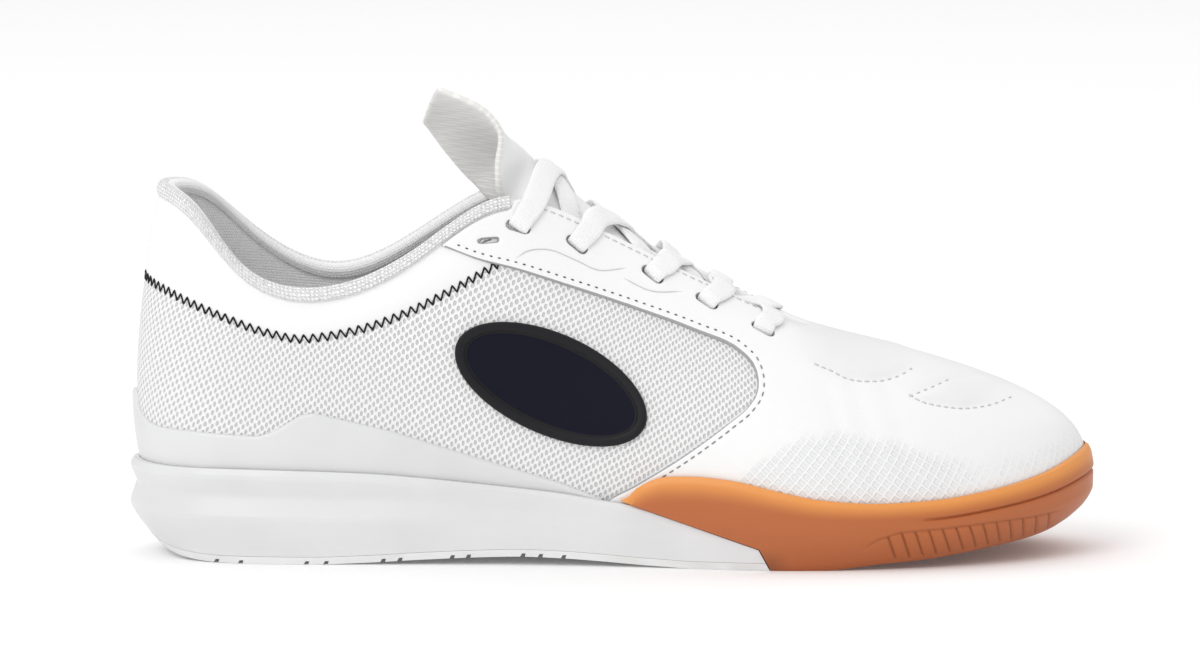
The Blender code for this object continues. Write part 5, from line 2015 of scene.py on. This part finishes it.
@dataclass
class CollarTape:
    """Knitted tape folded over the collar edge."""

    last: Last
    finishes: Finishes
    thick: float = 1.2
    crown: float = 1.0
    heel_share: float = 0.45
    front: float = -31.8
    stations: int = 330

    def build(self) -> None:
        """Make the tape."""
        last = self.last
        ends = [last.edge_place(self.front, side) for side in (Side.INNER, Side.OUTER)]
        places = np.linspace(ends[0] - last.loop, ends[1], self.stations)
        wall = last.thickness(places, 1.0)[:, None]
        top = last.point(places, 1.0)
        out = last.normal(places, 1.0)
        up = unit(top - last.point(places, 0.97))
        low = last.cuff_rise(places) + 0.012
        past_heel = ease(last.section(places)[:, TOP_X], -138.0, -120.0)[:, None]
        share = self.heel_share + (1.0 - self.heel_share) * past_heel
        flap = self.thick * share
        reach = flap + GAP
        deep = self.thick + GAP
        below = last.normal(places, low)
        outside = last.offset(places, low, np.full(len(places), SEATED))
        inside = last.offset(places, low, -(last.thickness(places, low) + SEATED))
        corners = np.stack([
            outside,
            outside + below * flap * 0.75,
            (outside + below * flap + top + out * reach) * 0.5 + out * 0.25 * share,
            top + out * reach - up * 0.8,
            top + out * (reach - 0.8 * share) + up * (GAP + self.crown * 0.7),
            top - out * wall * 0.5 + up * (GAP + self.crown),
            top - out * (wall + deep - 0.8) + up * (GAP + self.crown * 0.7),
            top - out * (wall + deep + GAP) - up * 0.8,
            (inside - below * self.thick + top - out * (wall + deep)) * 0.5 - out * 0.25,
            inside - below * self.thick * 0.75,
            inside,
        ], axis=1)
        outline = loft(corners.transpose(1, 0, 2), 40).transpose(1, 0, 2)
        seat = up * SEATED
        hidden = np.stack([top - out * (wall + SEATED) + seat, top + out * SEATED + seat], axis=1)
        sections = np.concatenate([outline, hidden], axis=1)
        run = run_along(top)
        around = np.linalg.norm(np.diff(outline, axis=1), axis=2).mean(axis=0)
        around = np.concatenate([[0.0], np.cumsum(around), [0.0, 0.0]])
        stock = Stock()
        numbers = stock.add(sections, along=run[:, None], up=around[None, :])
        split = len(around) // 2
        stock.net(numbers[:, :split + 1])
        stock.net(numbers[:, split:], tint=1)
        stock.bridge(numbers[:, -1], numbers[:, 0], tint=1)
        stock.face(numbers[0])
        stock.face(numbers[-1])
        piece = stock.piece("collar_tape", self.finishes.tape, self.finishes.lining)
        settle(piece, "knit_tape", "collar_binding")


@dataclass
class Tongue:
    """Thin padded tongue that stands up behind the laces."""

    last: Last
    finishes: Finishes
    thick: float = 3.0
    tip_thick: float = 1.8
    gap: float = 0.9
    tuck: float = 8.0
    rows: int = 170
    bound_rows: int = 2

    def __post_init__(self) -> None:
        """Set up the ridge and the columns across the tongue."""
        self.ridge = LevelCurve([row[0] for row in TONGUE_RIDGE], [row[1] for row in TONGUE_RIDGE])
        self.tucks = np.linspace(1.0, 0.0, 6)[:-1]
        self.shares = np.linspace(0.0, 1.0, 37)
        knots = [0.0, 0.12, 0.3, 0.5, 0.7, 0.88, 1.0]
        middle = np.interp(self.shares, knots, np.arange(1.0, 8.0))
        self.column = np.concatenate([1.0 - self.tucks, middle, 7.0 + self.tucks[::-1]])

    def under_edge(self, place: float, below: float) -> Array:
        """Point just under the upper, a distance below its edge."""
        rise = 1.0 if below == 0.0 else float(self.last.rise_below_edge(np.array([place]), below)[0])
        return self.last.offset(place, rise, -(self.last.thickness(place, rise) + self.gap))

    def crown(self, along: float, shares: Array) -> Array:
        """Points of the tongue between the throat edges.

        Args:
            along: Place along the shoe.
            shares: Shares of the way from the outer to the inner edge.

        Returns:
            Points of the outer face.
        """
        left = self.last.edge_place(along, Side.OUTER)
        right = self.last.edge_place(along, Side.INNER)
        start = self.under_edge(left, 0.0)
        end = self.under_edge(right, 0.0)
        up_left = unit(self.last.point(left, 1.0) - self.last.point(left, 0.97))
        up_right = unit(self.last.point(right, 1.0) - self.last.point(right, 0.97))
        lift = max(float(self.ridge(along)) - 0.5 * (start[2] + end[2]), 0.5)
        handle = lift / (0.75 * 0.5 * (up_left[2] + up_right[2]))
        share = np.asarray(shares, dtype=float)[..., None]
        return bezier((start, start + up_left * handle, end + up_right * handle, end), share)

    def crown_out(self, along: float, share: float) -> Array:
        """Direction out of the tongue between the throat edges.

        Args:
            along: Place along the shoe.
            share: Share of the way across.

        Returns:
            The direction.
        """
        ahead = self.crown(along + 1.0, share) - self.crown(along - 1.0, share)
        across = self.crown(along, share + 0.02) - self.crown(along, share - 0.02)
        return unit(np.cross(ahead, across))

    def face(self) -> Array:
        """Outer face of the tongue, from under the vamp to its tip.

        Returns:
            Points, as an array of row, column and axis.
        """
        ends = [self.last.edge_place(TONGUE_STATIONS[0] + 3.0, side) for side in Side]
        places = ends[0] + (ends[1] - ends[0]) * self.column / 8.0
        rows = [np.array([self.under_edge(place, self.tuck) for place in places])]
        for along in TONGUE_STATIONS:
            left, right = (self.last.edge_place(along, side) for side in Side)
            near = [self.under_edge(left, self.tuck * share) for share in self.tucks]
            far = [self.under_edge(right, self.tuck * share) for share in self.tucks[::-1]]
            rows.append(np.concatenate([near, self.crown(along, self.shares), far]))
        knots = [0.0, 0.08, 0.1808, 0.332, 0.5, 0.668, 0.8192, 0.92, 1.0]
        share = np.interp(self.column, np.arange(9.0), knots)[:, None]
        for tip in TONGUE_TIP:
            near = np.array([tip.near_x, tip.near_y, tip.near_z])
            far = np.array([tip.far_x, tip.far_y, tip.far_z])
            bulge = 2.0 * np.array([tip.mid_x, tip.mid_y, tip.mid_z]) - 0.5 * (near + far)
            rows.append(near * (1.0 - share) ** 2 + 2.0 * bulge * share * (1.0 - share) + far * share**2)
        return loft(np.array(rows), self.rows)

    def build(self) -> None:
        """Make the tongue."""
        face = self.face()
        out = unit(np.cross(np.gradient(face, axis=1), np.gradient(face, axis=0)))
        across = run_along(face, axis=1)
        along = run_along(face)
        edge = np.minimum(np.minimum(across, across[:, -1:] - across), along[-1:] - along)
        full = rounded_lip(edge, 1.6, 0.3)
        tip = ease(np.arange(len(face)) / len(face), 0.6, 0.85)[:, None]
        thick = self.thick - (self.thick - self.tip_thick) * tip
        taper = thick * 0.5 * (1.0 - full)
        stock = Stock()
        marks = {"along": across, "up": face[..., 2]}
        front = stock.add(face - out * taper[..., None], **marks)
        back = stock.add(face - out * (thick - taper)[..., None], **marks)
        rim = self.bound_rows
        stock.net(front[:-rim, rim:-rim])
        for bound in (front[-rim - 1:], front[:-rim, :rim + 1], front[:-rim, -rim - 1:], back):
            stock.net(bound, tint=1)
        for first, second in (
            (front[0], back[0]), (front[-1], back[-1]),
            (front[:, 0], back[:, 0]), (front[:, -1], back[:, -1]),
        ):
            stock.bridge(first, second, tint=1)
        piece = stock.piece("tongue_pad", self.finishes.panel, self.finishes.tongue_back, sharp=70.0)
        settle(piece, "panel", "tongue")


class LaceFrame(NamedTuple):
    """One section of the lace: its middle, the way its flat face looks, and its size."""

    middle: Array
    out: Array
    width: float
    thick: float


@dataclass
class Lacing:
    """One flat lace through the eyelets, with both ends hidden behind the top pair."""

    last: Last
    finishes: Finishes
    tongue: Tongue
    width: float = 6.4
    crown_width: float = 7.8
    thick: float = 1.45
    flat: float = 0.5
    forward: float = 5.0
    foremost: float = 47.2
    clear: float = 0.2
    under_gap: float = 0.36

    @property
    def lift(self) -> float:
        """Height of the lace's middle over the last where it lies on an eyestay."""
        return OVERLAY_OUT + self.clear + self.thick * 0.5

    def edge_ahead(self, eyelet: Eyelet, side: Side) -> float:
        """Place where the lace from an eyelet goes over the throat edge."""
        return self.last.edge_place(min(eyelet.x + self.forward, self.foremost), side)

    def eyelet_frame(self, eyelet: Eyelet, side: Side) -> tuple[float, float, Array, Array, Array]:
        """Where an eyelet is and which ways it looks.

        Args:
            eyelet: The eyelet.
            side: Side of the shoe.

        Returns:
            Place, rise, middle, direction out and direction away from the throat.
        """
        place, rise = self.last.locate([eyelet.x], [eyelet.z], side)
        middle = self.last.point(place, rise)[0]
        out = self.last.normal(place, rise)[0]
        down = middle - self.last.point(self.edge_ahead(eyelet, side), 1.0)
        down = unit(down - out * (down @ out))
        return float(place[0]), float(rise[0]), middle, out, down

    def through(self, eyelet: Eyelet, side: Side) -> list[LaceFrame]:
        """The turn down through an eyelet and back under the eyestay.

        Args:
            eyelet: The eyelet.
            side: Side of the shoe.

        Returns:
            Sections of the lace.
        """
        _, _, middle, out, down = self.eyelet_frame(eyelet, side)
        wall = self.last.wall
        turn = (
            (self.lift, -2.6, 1.0, 0.0, 1.0), (self.lift - 0.45, -0.9, 0.8, 0.6, 1.0),
            (0.9, 0.0, 0.0, 1.0, 1.0), (-0.9, 0.0, 0.0, 1.0, 0.9),
            (-wall - 0.3, -0.8, -0.8, 0.6, 0.5), (-wall - 0.38, -2.6, -1.0, 0.0, 0.34),
        )
        return [
            LaceFrame(middle + out * a + down * b, unit(out * c + down * d), self.width, self.thick * thin)
            for a, b, c, d, thin in turn
        ]

    def beside(self, eyelet: Eyelet, side: Side, over: bool) -> list[LaceFrame]:
        """From an eyelet to the throat edge, over the eyestay or flattened between it and the tongue.

        Args:
            eyelet: The eyelet.
            side: Side of the shoe.
            over: Whether the lace lies over the eyestay.

        Returns:
            Sections of the lace.
        """
        place, rise, _, _, _ = self.eyelet_frame(eyelet, side)
        edge = self.edge_ahead(eyelet, side) if over else self.last.edge_place(eyelet.x, side)
        frames = []
        for share in (0.45, 0.72, 1.0) if over else (0.45, 0.75):
            here = place + (edge - place) * share
            up = rise + (1.0 - rise) * share
            out = self.last.normal(here, up)
            if over:
                past = (self.last.point(here, 1.0) - self.last.point(here, 0.99)) * (share == 1.0)
                width = self.width + (self.crown_width - self.width) * share
                frames.append(LaceFrame(self.last.offset(here, up, self.lift) + past, out, width, self.thick))
            else:
                depth = -(float(self.last.thickness(here, up)) + self.under_gap)
                frames.append(LaceFrame(self.last.offset(here, up, depth), -out, self.width, self.flat))
        return frames

    def crossing(self, lower: Eyelet, upper: Eyelet, side: Side) -> list[LaceFrame]:
        """Over the tongue, from the throat edge of one side to the eyelet above on the other.

        Args:
            lower: Eyelet that the lace comes from.
            upper: Eyelet that it goes to.
            side: Side that it comes from.

        Returns:
            Sections of the lace.
        """
        over = side is Side.INNER
        start = upper.x + self.forward + 0.5
        frames = []
        rows = (
            (1.0, 0.1, 0.34), (0.93, 0.3, 0.7), (0.82, 0.5, 1.0),
            (0.66, 0.8 if over else 0.35, 1.0), (0.5, 1.7 if over else 0.25, 1.0),
            (0.38, 1.8 if over else 0.6, 1.0), (0.24, 2.4 if over else 1.3, 1.0),
        )
        for share, lift, thin in rows:
            along = start + (lower.x - start) * share
            across = share if over else 1.0 - share
            out = self.tongue.crown_out(along, min(max(across, 0.03), 0.97))
            middle = self.tongue.crown(along, across) + out * (lift + self.thick * thin * 0.5)
            width = self.crown_width - (self.crown_width - self.width) * max(share - 0.5, 0.0) * 2.0
            frames.append(LaceFrame(middle, out, width, self.thick * thin))
        return frames

    def half(self, side: Side) -> list[LaceFrame]:
        """From the lowest eyelet on one side up to its hidden end.

        Args:
            side: Side that it starts on.

        Returns:
            Sections of the lace.
        """
        frames: list[LaceFrame] = []
        for lower, upper in zip(EYELETS[:LACED], EYELETS[1:LACED]):
            frames += self.through(lower, side) + self.beside(lower, side, over=False)
            frames += self.crossing(lower, upper, side)
            side = side.other
            frames += self.beside(upper, side, over=True)[::-1]
        return frames + self.through(EYELETS[LACED - 1], side)[:5]

    def bar(self) -> list[LaceFrame]:
        """Straight bar over the lowest pair of eyelets.

        Returns:
            Sections of the lace.
        """
        lowest = EYELETS[0]
        along = self.foremost + 0.6
        frames = self.beside(lowest, Side.OUTER, over=True)
        for share, lift in ((0.2, 2.2), (0.4, 0.9), (0.6, 0.9), (0.8, 2.2)):
            out = self.tongue.crown_out(along, share)
            middle = self.tongue.crown(along, share) + out * (lift + self.thick * 0.5)
            frames.append(LaceFrame(middle, out, self.crown_width, self.thick))
        return frames + self.beside(lowest, Side.INNER, over=True)[::-1]

    def build(self) -> float:
        """Make the lace.

        Returns:
            Length of the lace in millimetres.
        """
        frames = self.half(Side.OUTER)[::-1] + self.bar() + self.half(Side.INNER)
        outs = [frames[0].out]
        for frame_here in frames[1:]:
            outs.append(frame_here.out if frame_here.out @ outs[-1] >= 0.0 else -frame_here.out)
        sizes = np.array([[one.width, one.thick, 0.0] for one in frames])
        rows = np.stack([np.array([one.middle for one in frames]), np.array(outs), sizes], axis=1)
        path = trace(rows[:, 0], 0.9)
        run = run_along(path)
        marks = np.array([np.linalg.norm(path - one.middle, axis=1).argmin() for one in frames])
        places = np.maximum.accumulate(run[marks]) + np.arange(len(marks)) * 1e-6
        out = np.stack([np.interp(run, places, rows[:, 1, axis]) for axis in range(3)], axis=1)
        width = np.interp(run, places, sizes[:, 0])[:, None]
        thick = np.interp(run, places, sizes[:, 1])[:, None]
        ahead = unit(np.gradient(path, axis=0))
        across = unit(np.cross(out, ahead))
        out = np.cross(ahead, across)
        turns = np.linspace(0.0, 2.0 * math.pi, 18, endpoint=False)
        wide = np.sign(np.cos(turns)) * np.abs(np.cos(turns)) ** 0.55 * 0.5
        high = np.sign(np.sin(turns)) * np.abs(np.sin(turns)) ** 0.8 * 0.5
        sections = (
            path[:, None]
            + across[:, None] * (width * wide)[..., None]
            + out[:, None] * (thick * high)[..., None]
        )
        stock = Stock()
        stock.sweep(
            sections,
            along=np.broadcast_to(run[:, None], sections.shape[:2]),
            across=np.broadcast_to(wide * self.width, sections.shape[:2]),
        )
        nodes = ["lace_bar"] + [f"lace_cross_{number}" for number in range(1, LACED)]
        settle(stock.piece("lace", self.finishes.lace, sharp=70.0), "lace", *nodes)
        return float(run[-1])


@dataclass
class Cup:
    """Sole unit round the upper: its rim, the rows up its wall and where they are stepped."""

    last: Last
    rim: LevelCurve
    rows: tuple[WallRow, ...]
    fade: tuple[float, float]
    rising: bool
    places: Array

    def __post_init__(self) -> None:
        """Run the rim round the upper and smooth the wall's rows."""
        self.bottom = LevelCurve.of_stations("bottom")
        self.roll = LevelCurve.of_stations("roll")
        rise = self.last.rise_at_height(self.places, self.rim(self.last.section(self.places)[:, 0]))
        for _ in range(3):
            rise = self.last.rise_at_height(self.places, self.rim(self.last.point(self.places, rise)[:, 0]))
        self.rise = rise
        self.line = self.last.point(self.places, rise)
        along = np.roll(self.line, -1, axis=0) - np.roll(self.line, 1, axis=0)
        self.out = unit(np.stack([along[:, 1], -along[:, 0], np.zeros(len(along))], axis=1))
        self.shares = np.linspace(0.0, 1.0, 401)
        kernel = np.exp(-((np.arange(-12, 13) / 4.5) ** 2))
        kernel = kernel / kernel.sum()
        steps = [row.share for row in self.rows][::-1]
        self.smoothed = []
        for column in ("plain", "stepped"):
            line = np.interp(self.shares, steps, [getattr(row, column) for row in self.rows][::-1])
            self.smoothed.append(np.convolve(np.pad(line, 12, mode="edge"), kernel, mode="valid"))

    def ring(self, share: Values) -> Array:
        """One ring of the side wall at a share of its height.

        Args:
            share: Share of the wall's height.

        Returns:
            Points of the ring.
        """
        x = self.line[:, 0]
        share = np.broadcast_to(np.asarray(share, dtype=float), x.shape)
        plain, stepped = (np.interp(share, self.shares, line) for line in self.smoothed)
        stepping = ease(x, *self.fade)
        stepping = stepping if self.rising else 1.0 - stepping
        proud = plain + (stepped - plain) * stepping
        rolled = self.roll(x) * np.clip(1.0 - share / 0.45, 0.0, 1.0) ** 1.6
        ring = self.line + self.out * (CUP_CLEARANCE + proud - rolled)[:, None]
        base = self.bottom(x)
        ring[:, 2] = base + (self.rim(x) - base) * share
        return ring

    def inside(self) -> list[Array]:
        """Rings of the inside, from the floor up to the rim.

        Returns:
            Points of each ring.
        """
        rings = []
        for share in (0.0, 0.2, 0.4, 0.6, 0.8, 1.0):
            ring = self.last.point(self.places, self.rise * share)
            ring = ring + self.last.outward(self.places) * CUP_CLEARANCE
            if share == 0.0:
                ring[:, 2] = self.last.floor(ring[:, 0])
            rings.append(ring)
        rings[-1][:, 2] = self.rim(rings[-1][:, 0])
        return rings

    def stock(self, shares: Sequence[Values], lowest: float, relief: SurfaceField | None = None) -> Stock:
        """Closed unit with a floor, a rim and a shaped side.

        Args:
            shares: Shares of the wall's height, from the rim down.
            lowest: Height of the underside over the sole's bottom.
            relief: Depth of pressed lines at points and shares of the wall.

        Returns:
            The unit.
        """
        stock = Stock()
        inside = self.inside()
        loops = [stock.add(ring, share=1.0) for ring in inside]
        for share in shares:
            ring = self.ring(share)
            sunk = relief(ring, share) if relief else np.zeros(len(ring))
            ring = ring - self.out * sunk[:, None]
            # The pressed mark is the depth of the pressed lines; the gum finish paints shade in them from it
            marks = {"share": share, "pressed": sunk, "along": ring[:, 0], "across": ring[:, 1]}
            loops.append(stock.add(ring, **marks))
        stock.net(loops, closed=True)
        stock.cap(loops[0], inside[0], self.last.floor, 6)
        self.under_cap(stock, loops[-1], ring, lambda x: self.bottom(x) + lowest)
        return stock

    def under_cap(self, stock: Stock, loop: Array, ring: Array, height: Callable[[Array], Array]) -> None:
        """Close the underside with marks for its fine tread.

        Args:
            stock: Unit to close.
            loop: Numbers of its lowest loop.
            ring: Points of that loop.
            height: Height of the underside along the shoe.
        """
        def tread_marks(points: Array) -> dict[str, Values]:
            """Marks that the tread is drawn from."""
            return {"under": 1.0, "along": points[..., 0], "across": points[..., 1]}

        inset = ring.copy()
        centre = ring[:, :2].mean(axis=0)
        inset[:, :2] = centre + (ring[:, :2] - centre) * UNDER_INSET
        inset[:, 2] = height(inset[:, 0])
        numbers = stock.add(inset, **tread_marks(inset))
        stock.bridge(loop, numbers, closed=True)
        stock.cap(numbers, inset, height, 12, tread_marks)


def side_prism(outline: Sequence[Sequence[float]], reach: float) -> Stock:
    """Closed block of a side-view outline, right across the shoe.

    Args:
        outline: Corners as x and z.
        reach: Half of the block's width.

    Returns:
        The block.
    """
    flat = np.array([[x, 0.0, z] for x, z in outline])
    stock = Stock()
    stock.sweep(np.stack([flat - [0.0, reach, 0.0], flat + [0.0, reach, 0.0]]))
    return stock


@dataclass
class Sole:
    """White midsole and rear outsole, and the gum cup round the forefoot."""

    last: Last
    finishes: Finishes
    outsole_thick: float = 2.2
    parting: float = 0.08
    joint_gap: tuple[float, float] = (0.2, 0.25)
    rear_grooves: tuple[float, ...] = (
        -120.9, -113.5, -93.5, -87.6, -70.3, -65.2, -49.4, -44.5, -28.0, -22.7, -15.7,
    )
    rear_groove: tuple[float, float, float] = (2.3, 1.0, 1.6)
    gum_groove: tuple[float, float, float] = (1.8, 1.3, 10.0)
    gum_groove_first: float = 60.0
    gum_groove_pitch: float = 11.0
    gum_groove_count: int = 5
    gum_groove_length: float = 62.0
    rib_first: float = 82.4
    rib_pitch: float = 4.15
    rib_count: int = 13
    rib_depth: float = 0.65
    reach: float = 90.0

    def joint_block(self, front: bool) -> Stock:
        """Everything in front of, or behind, the joint between the white unit and the gum cup.

        Args:
            front: Whether it is the part in front.

        Returns:
            The block.
        """
        way = -0.5 if front else 0.5
        line = [(x + self.joint_gap[0] * way, z + self.joint_gap[1] * way) for x, z in JOINT_LINE]
        if front:
            corners = [(line[-1][0], -20.0), (170.0, -20.0), (170.0, 60.0), (line[0][0], 60.0)]
        else:
            corners = [(line[-1][0], -20.0), (-170.0, -20.0), (-170.0, line[0][1])]
        return side_prism(line + corners, self.reach)

    def white_cup(self) -> Cup:
        """The cup that midsole and rear outsole are parts of.

        Returns:
            The cup.
        """
        places = np.linspace(0.0, self.last.loop, 420, endpoint=False)
        rim = LevelCurve.of_stations("white_rim")
        return Cup(self.last, rim, WHITE_WALL, (-75.0, -38.0), False, places)

    def build_white(self) -> None:
        """Make midsole and rear outsole."""
        cup = self.white_cup()
        height = cup.rim(cup.line[:, 0]) - cup.bottom(cup.line[:, 0])
        lowest = self.outsole_thick + self.parting
        low = lowest / height
        shares = [low + (1.0 - low) * share for share in np.linspace(1.0, 0.0, 58)]
        midsole = cup.stock(shares, lowest)
        midsole = midsole.piece("midsole_unit", self.finishes.moulded)
        cut_away(midsole, [self.joint_block(True)])
        settle(midsole, "moulded_white", "midsole")

        stock = Stock()
        top = cup.ring(self.outsole_thick / height)
        loops = [stock.add(top)]
        for level in np.array([0.92, 0.75, 0.55, 0.35, 0.17, 0.05, 0.0]) * self.outsole_thick:
            ring = cup.ring(level / height)
            loops.append(stock.add(ring, along=ring[:, 0], across=ring[:, 1]))
        stock.net(loops, closed=True)
        stock.cap(loops[0], top, lambda x: cup.bottom(x) + self.outsole_thick, 6)
        cup.under_cap(stock, loops[-1], ring, cup.bottom)
        rear = stock.piece("rear_outsole_tread", self.finishes.rubber)
        width, depth, slant = self.rear_groove
        tools = [self.joint_block(True)]
        for groove in self.rear_grooves:
            level = float(cup.bottom(groove))
            foot = groove - slant * 0.5
            head = groove + slant * 0.5
            outline = (
                (foot - width * 0.5, level - 3.0), (foot + width * 0.5, level - 3.0),
                (head + width * 0.25, level + depth), (head - width * 0.25, level + depth),
            )
            tools.append(side_prism(outline, self.reach))
        cut_away(rear, tools)
        settle(rear, "white_rubber", "rear_outsole")

    def gum_relief(self, ring: Array, share: Array) -> Array:
        """Depth of the pressed rib field and the groove under the lip at points of the gum wall.

        Args:
            ring: Points of one ring of the wall.
            share: Its share of the wall's height.

        Returns:
            Depths, one for each point.
        """
        x = ring[:, 0]
        base = LevelCurve.of_stations("bottom")(x)
        above = ring[:, 2] - base
        top = follow(RIB_TOP, x)
        inside = ease(top - above, -0.2, 0.5) * ease(x, 73.0, 80.0) * (1.0 - ease(x, 133.0, 138.0))
        inside = inside * ease(above, 0.6, 2.0)
        slant = 0.31 * (top - above) * (1.0 - ease(x, 105.0, 132.0))
        number = (x - slant - self.rib_first) / self.rib_pitch
        away = np.abs(number - np.round(number)) * self.rib_pitch
        counted = (number > -0.4) & (number < self.rib_count - 0.6)
        ribs = self.rib_depth * np.exp(-((away / 0.4) ** 2)) * inside * counted
        line = 0.4 * np.exp(-(((above - top) / 0.42) ** 2)) * ease(x, 72.0, 78.0)
        line = line * (1.0 - ease(x, 134.0, 139.0))
        groove = 0.45 * np.exp(-(((share - 0.7) / 0.014) ** 2)) * ease(x, 88.0, 98.0)
        return ribs + line + groove

    def build_gum(self) -> None:
        """Make the gum cup."""
        half = self.last.loop * 0.5
        fine_from = half - 110.0
        coarse = np.linspace(0.0, fine_from, 90, endpoint=False)
        outer = np.append(coarse, np.linspace(fine_from, half, 300))
        places = np.concatenate([outer, self.last.loop - outer[-2:0:-1]])
        rim = LevelCurve.of_stations("gum_rim")
        cup = Cup(self.last, rim, GUM_WALL, (84.0, 102.0), True, places)
        shares = list(np.linspace(1.0, 0.0, 56))
        gum = cup.stock(shares, 0.0, self.gum_relief).piece("gum_cup", self.finishes.gum)
        tools = [self.joint_block(False)]
        width, depth, height = self.gum_groove
        for number in range(self.gum_groove_count):
            groove = self.gum_groove_first + number * self.gum_groove_pitch
            slope = float(cup.bottom(groove + 1.0) - cup.bottom(groove - 1.0)) * 0.5
            along = unit(np.array([1.0, slope])) * width
            up = unit(np.array([-slope, 1.0])) * height
            centre = np.array([groove, float(cup.bottom(groove)) + depth]) - up * 0.5
            ring = [along * a * 0.5 + up * c * 0.5 for a, c in ((-1, -1), (1, -1), (1, 1), (-1, 1))]
            tools.append(side_prism(centre + ring, self.gum_groove_length * 0.5))
        cut_away(gum, tools)
        settle(gum, "gum_rubber", "forefoot_outsole")


@dataclass
class Insole:
    """Loose sock liner on the floor of the sole."""

    last: Last
    finishes: Finishes
    thick: float = 4.0
    columns: int = 300

    def build(self) -> None:
        """Make the sock liner."""
        places = np.linspace(0.0, self.last.loop, self.columns, endpoint=False)
        outline = self.last.point(places, 0.0) - self.last.outward(places) * (self.last.wall + 2.0 * GAP)
        rings = []
        rows = ((0.0, 0.0), (0.35, 0.0), (0.7, 0.0), (0.85, 0.25), (0.95, 0.7), (1.0, 1.5))
        for lift, tighten in rows:
            ring = outline - self.last.outward(places) * tighten
            ring[:, 2] = self.last.floor(ring[:, 0]) + GAP + self.thick * lift
            rings.append(ring)

        def cloth_marks(points: Array) -> dict[str, Values]:
            """Marks that the cloth is drawn from."""
            return {"along": points[..., 0], "up": points[..., 1]}

        stock = Stock()
        loops = [stock.add(ring, **cloth_marks(ring)) for ring in rings]
        stock.net(loops, closed=True)
        stock.cap(loops[0], rings[0], lambda x: self.last.floor(x) + GAP, 4)
        stock.cap(loops[-1], rings[-1], lambda x: self.last.floor(x) + GAP + self.thick, 24, cloth_marks)
        piece = stock.piece("sock_liner", self.finishes.sock, sharp=60.0)
        settle(piece, "lining", "insole")


@dataclass
class Studio:
    """Pale floor, soft light and a camera at the photograph's angle."""

    elevation: float = 6.0
    distance: float = 2.2
    target: tuple[float, float, float] = (-0.00386, 0.0, 0.0660)
    frame_width_px: float = 1200.0
    metres_per_px: float = 0.000306
    sensor: float = 36.0
    sky_strength: float = 0.67
    overhead_watts: float = 60.0
    front_watts: float = 26.0
    floor_glow: float = 0.06
    floor_drop: float = 0.05

    def build(self) -> None:
        """Set up camera, floor and light."""
        scene = bpy.context.scene
        scene.view_settings.view_transform = "Standard"
        tilt = math.radians(self.elevation)
        back = Vector((0.0, -math.cos(tilt), math.sin(tilt)))
        lens = bpy.data.cameras.new("camera")
        lens.sensor_width = self.sensor
        lens.lens = self.sensor * self.distance / (self.frame_width_px * self.metres_per_px)
        camera = bpy.data.objects.new("camera", lens)
        camera.location = Vector(self.target) + back * self.distance
        camera.rotation_euler = (math.radians(90.0 - self.elevation), 0.0, 0.0)
        scene.collection.objects.link(camera)
        scene.camera = camera
        self.build_floor()
        world = bpy.data.worlds.new("studio")
        world.use_nodes = True
        sky = world.node_tree.nodes["Background"]
        sky.inputs["Color"].default_value = (1.0, 1.0, 1.0, 1.0)
        sky.inputs["Strength"].default_value = self.sky_strength
        scene.world = world
        self.add_light("overhead", (0.0, 1.2, 3.0), 6.0, self.overhead_watts)
        self.add_light("front", (-1.2, -1.9, 1.7), 1.6, self.front_watts)

    def build_floor(self) -> None:
        """Lay the floor."""
        stock = Stock()
        reach = 6000.0
        corners = np.array([[-1.0, -1.0, 0.0], [1.0, -1.0, 0.0], [1.0, 1.0, 0.0], [-1.0, 1.0, 0.0]])
        stock.face(stock.add(corners * reach - SHIFT - [0.0, 0.0, self.floor_drop]))
        finish = Bench("pale floor").finish(
            Base_Color=(0.93, 0.93, 0.93),
            Roughness=0.9,
            Emission_Color=(1.0, 1.0, 1.0),
            Emission_Strength=self.floor_glow,
        )
        stock.piece("floor", finish)

    def add_light(self, name: str, place: Sequence[float], size: float, power: float) -> None:
        """Add a soft light that looks at the shoe.

        Args:
            name: Name of the light.
            place: Where it is, in metres.
            size: Width of its square face.
            power: Power in watts.
        """
        lamp = bpy.data.lights.new(name, "AREA")
        lamp.size = size
        lamp.energy = power
        holder = bpy.data.objects.new(name, lamp)
        holder.location = place
        aim = Vector(self.target) - Vector(place)
        holder.rotation_euler = aim.to_track_quat("-Z", "Y").to_euler()
        bpy.context.scene.collection.objects.link(holder)


def main() -> None:
    """Dress the shoe, piece by piece."""
    logging.basicConfig(level=logging.INFO, format="%(name)s %(message)s")
    Studio().build()
    last = Last()
    finishes = Finishes()
    slots = EyeletSlots(last)
    upper = Upper(last, finishes, slots)
    tongue = Tongue(last, finishes)
    overlays = Overlays(last, finishes, slots)
    stitching = Stitching(last, finishes, overlays)
    lace_length = Lacing(last, finishes, tongue).build()
    LOG.info("lace runs %.0f mm", lace_length)
    upper.build()
    upper.zigzag()
    overlays.build_vamp()
    overlays.build_clip()
    stitching.panel_rows()
    stitching.vamp_rows()
    Badge(last, finishes).build()
    CollarTape(last, finishes).build()
    tongue.build()
    sole = Sole(last, finishes)
    sole.build_white()
    sole.build_gum()
    Insole(last, finishes).build()


if __name__ == "__main__":
    main()
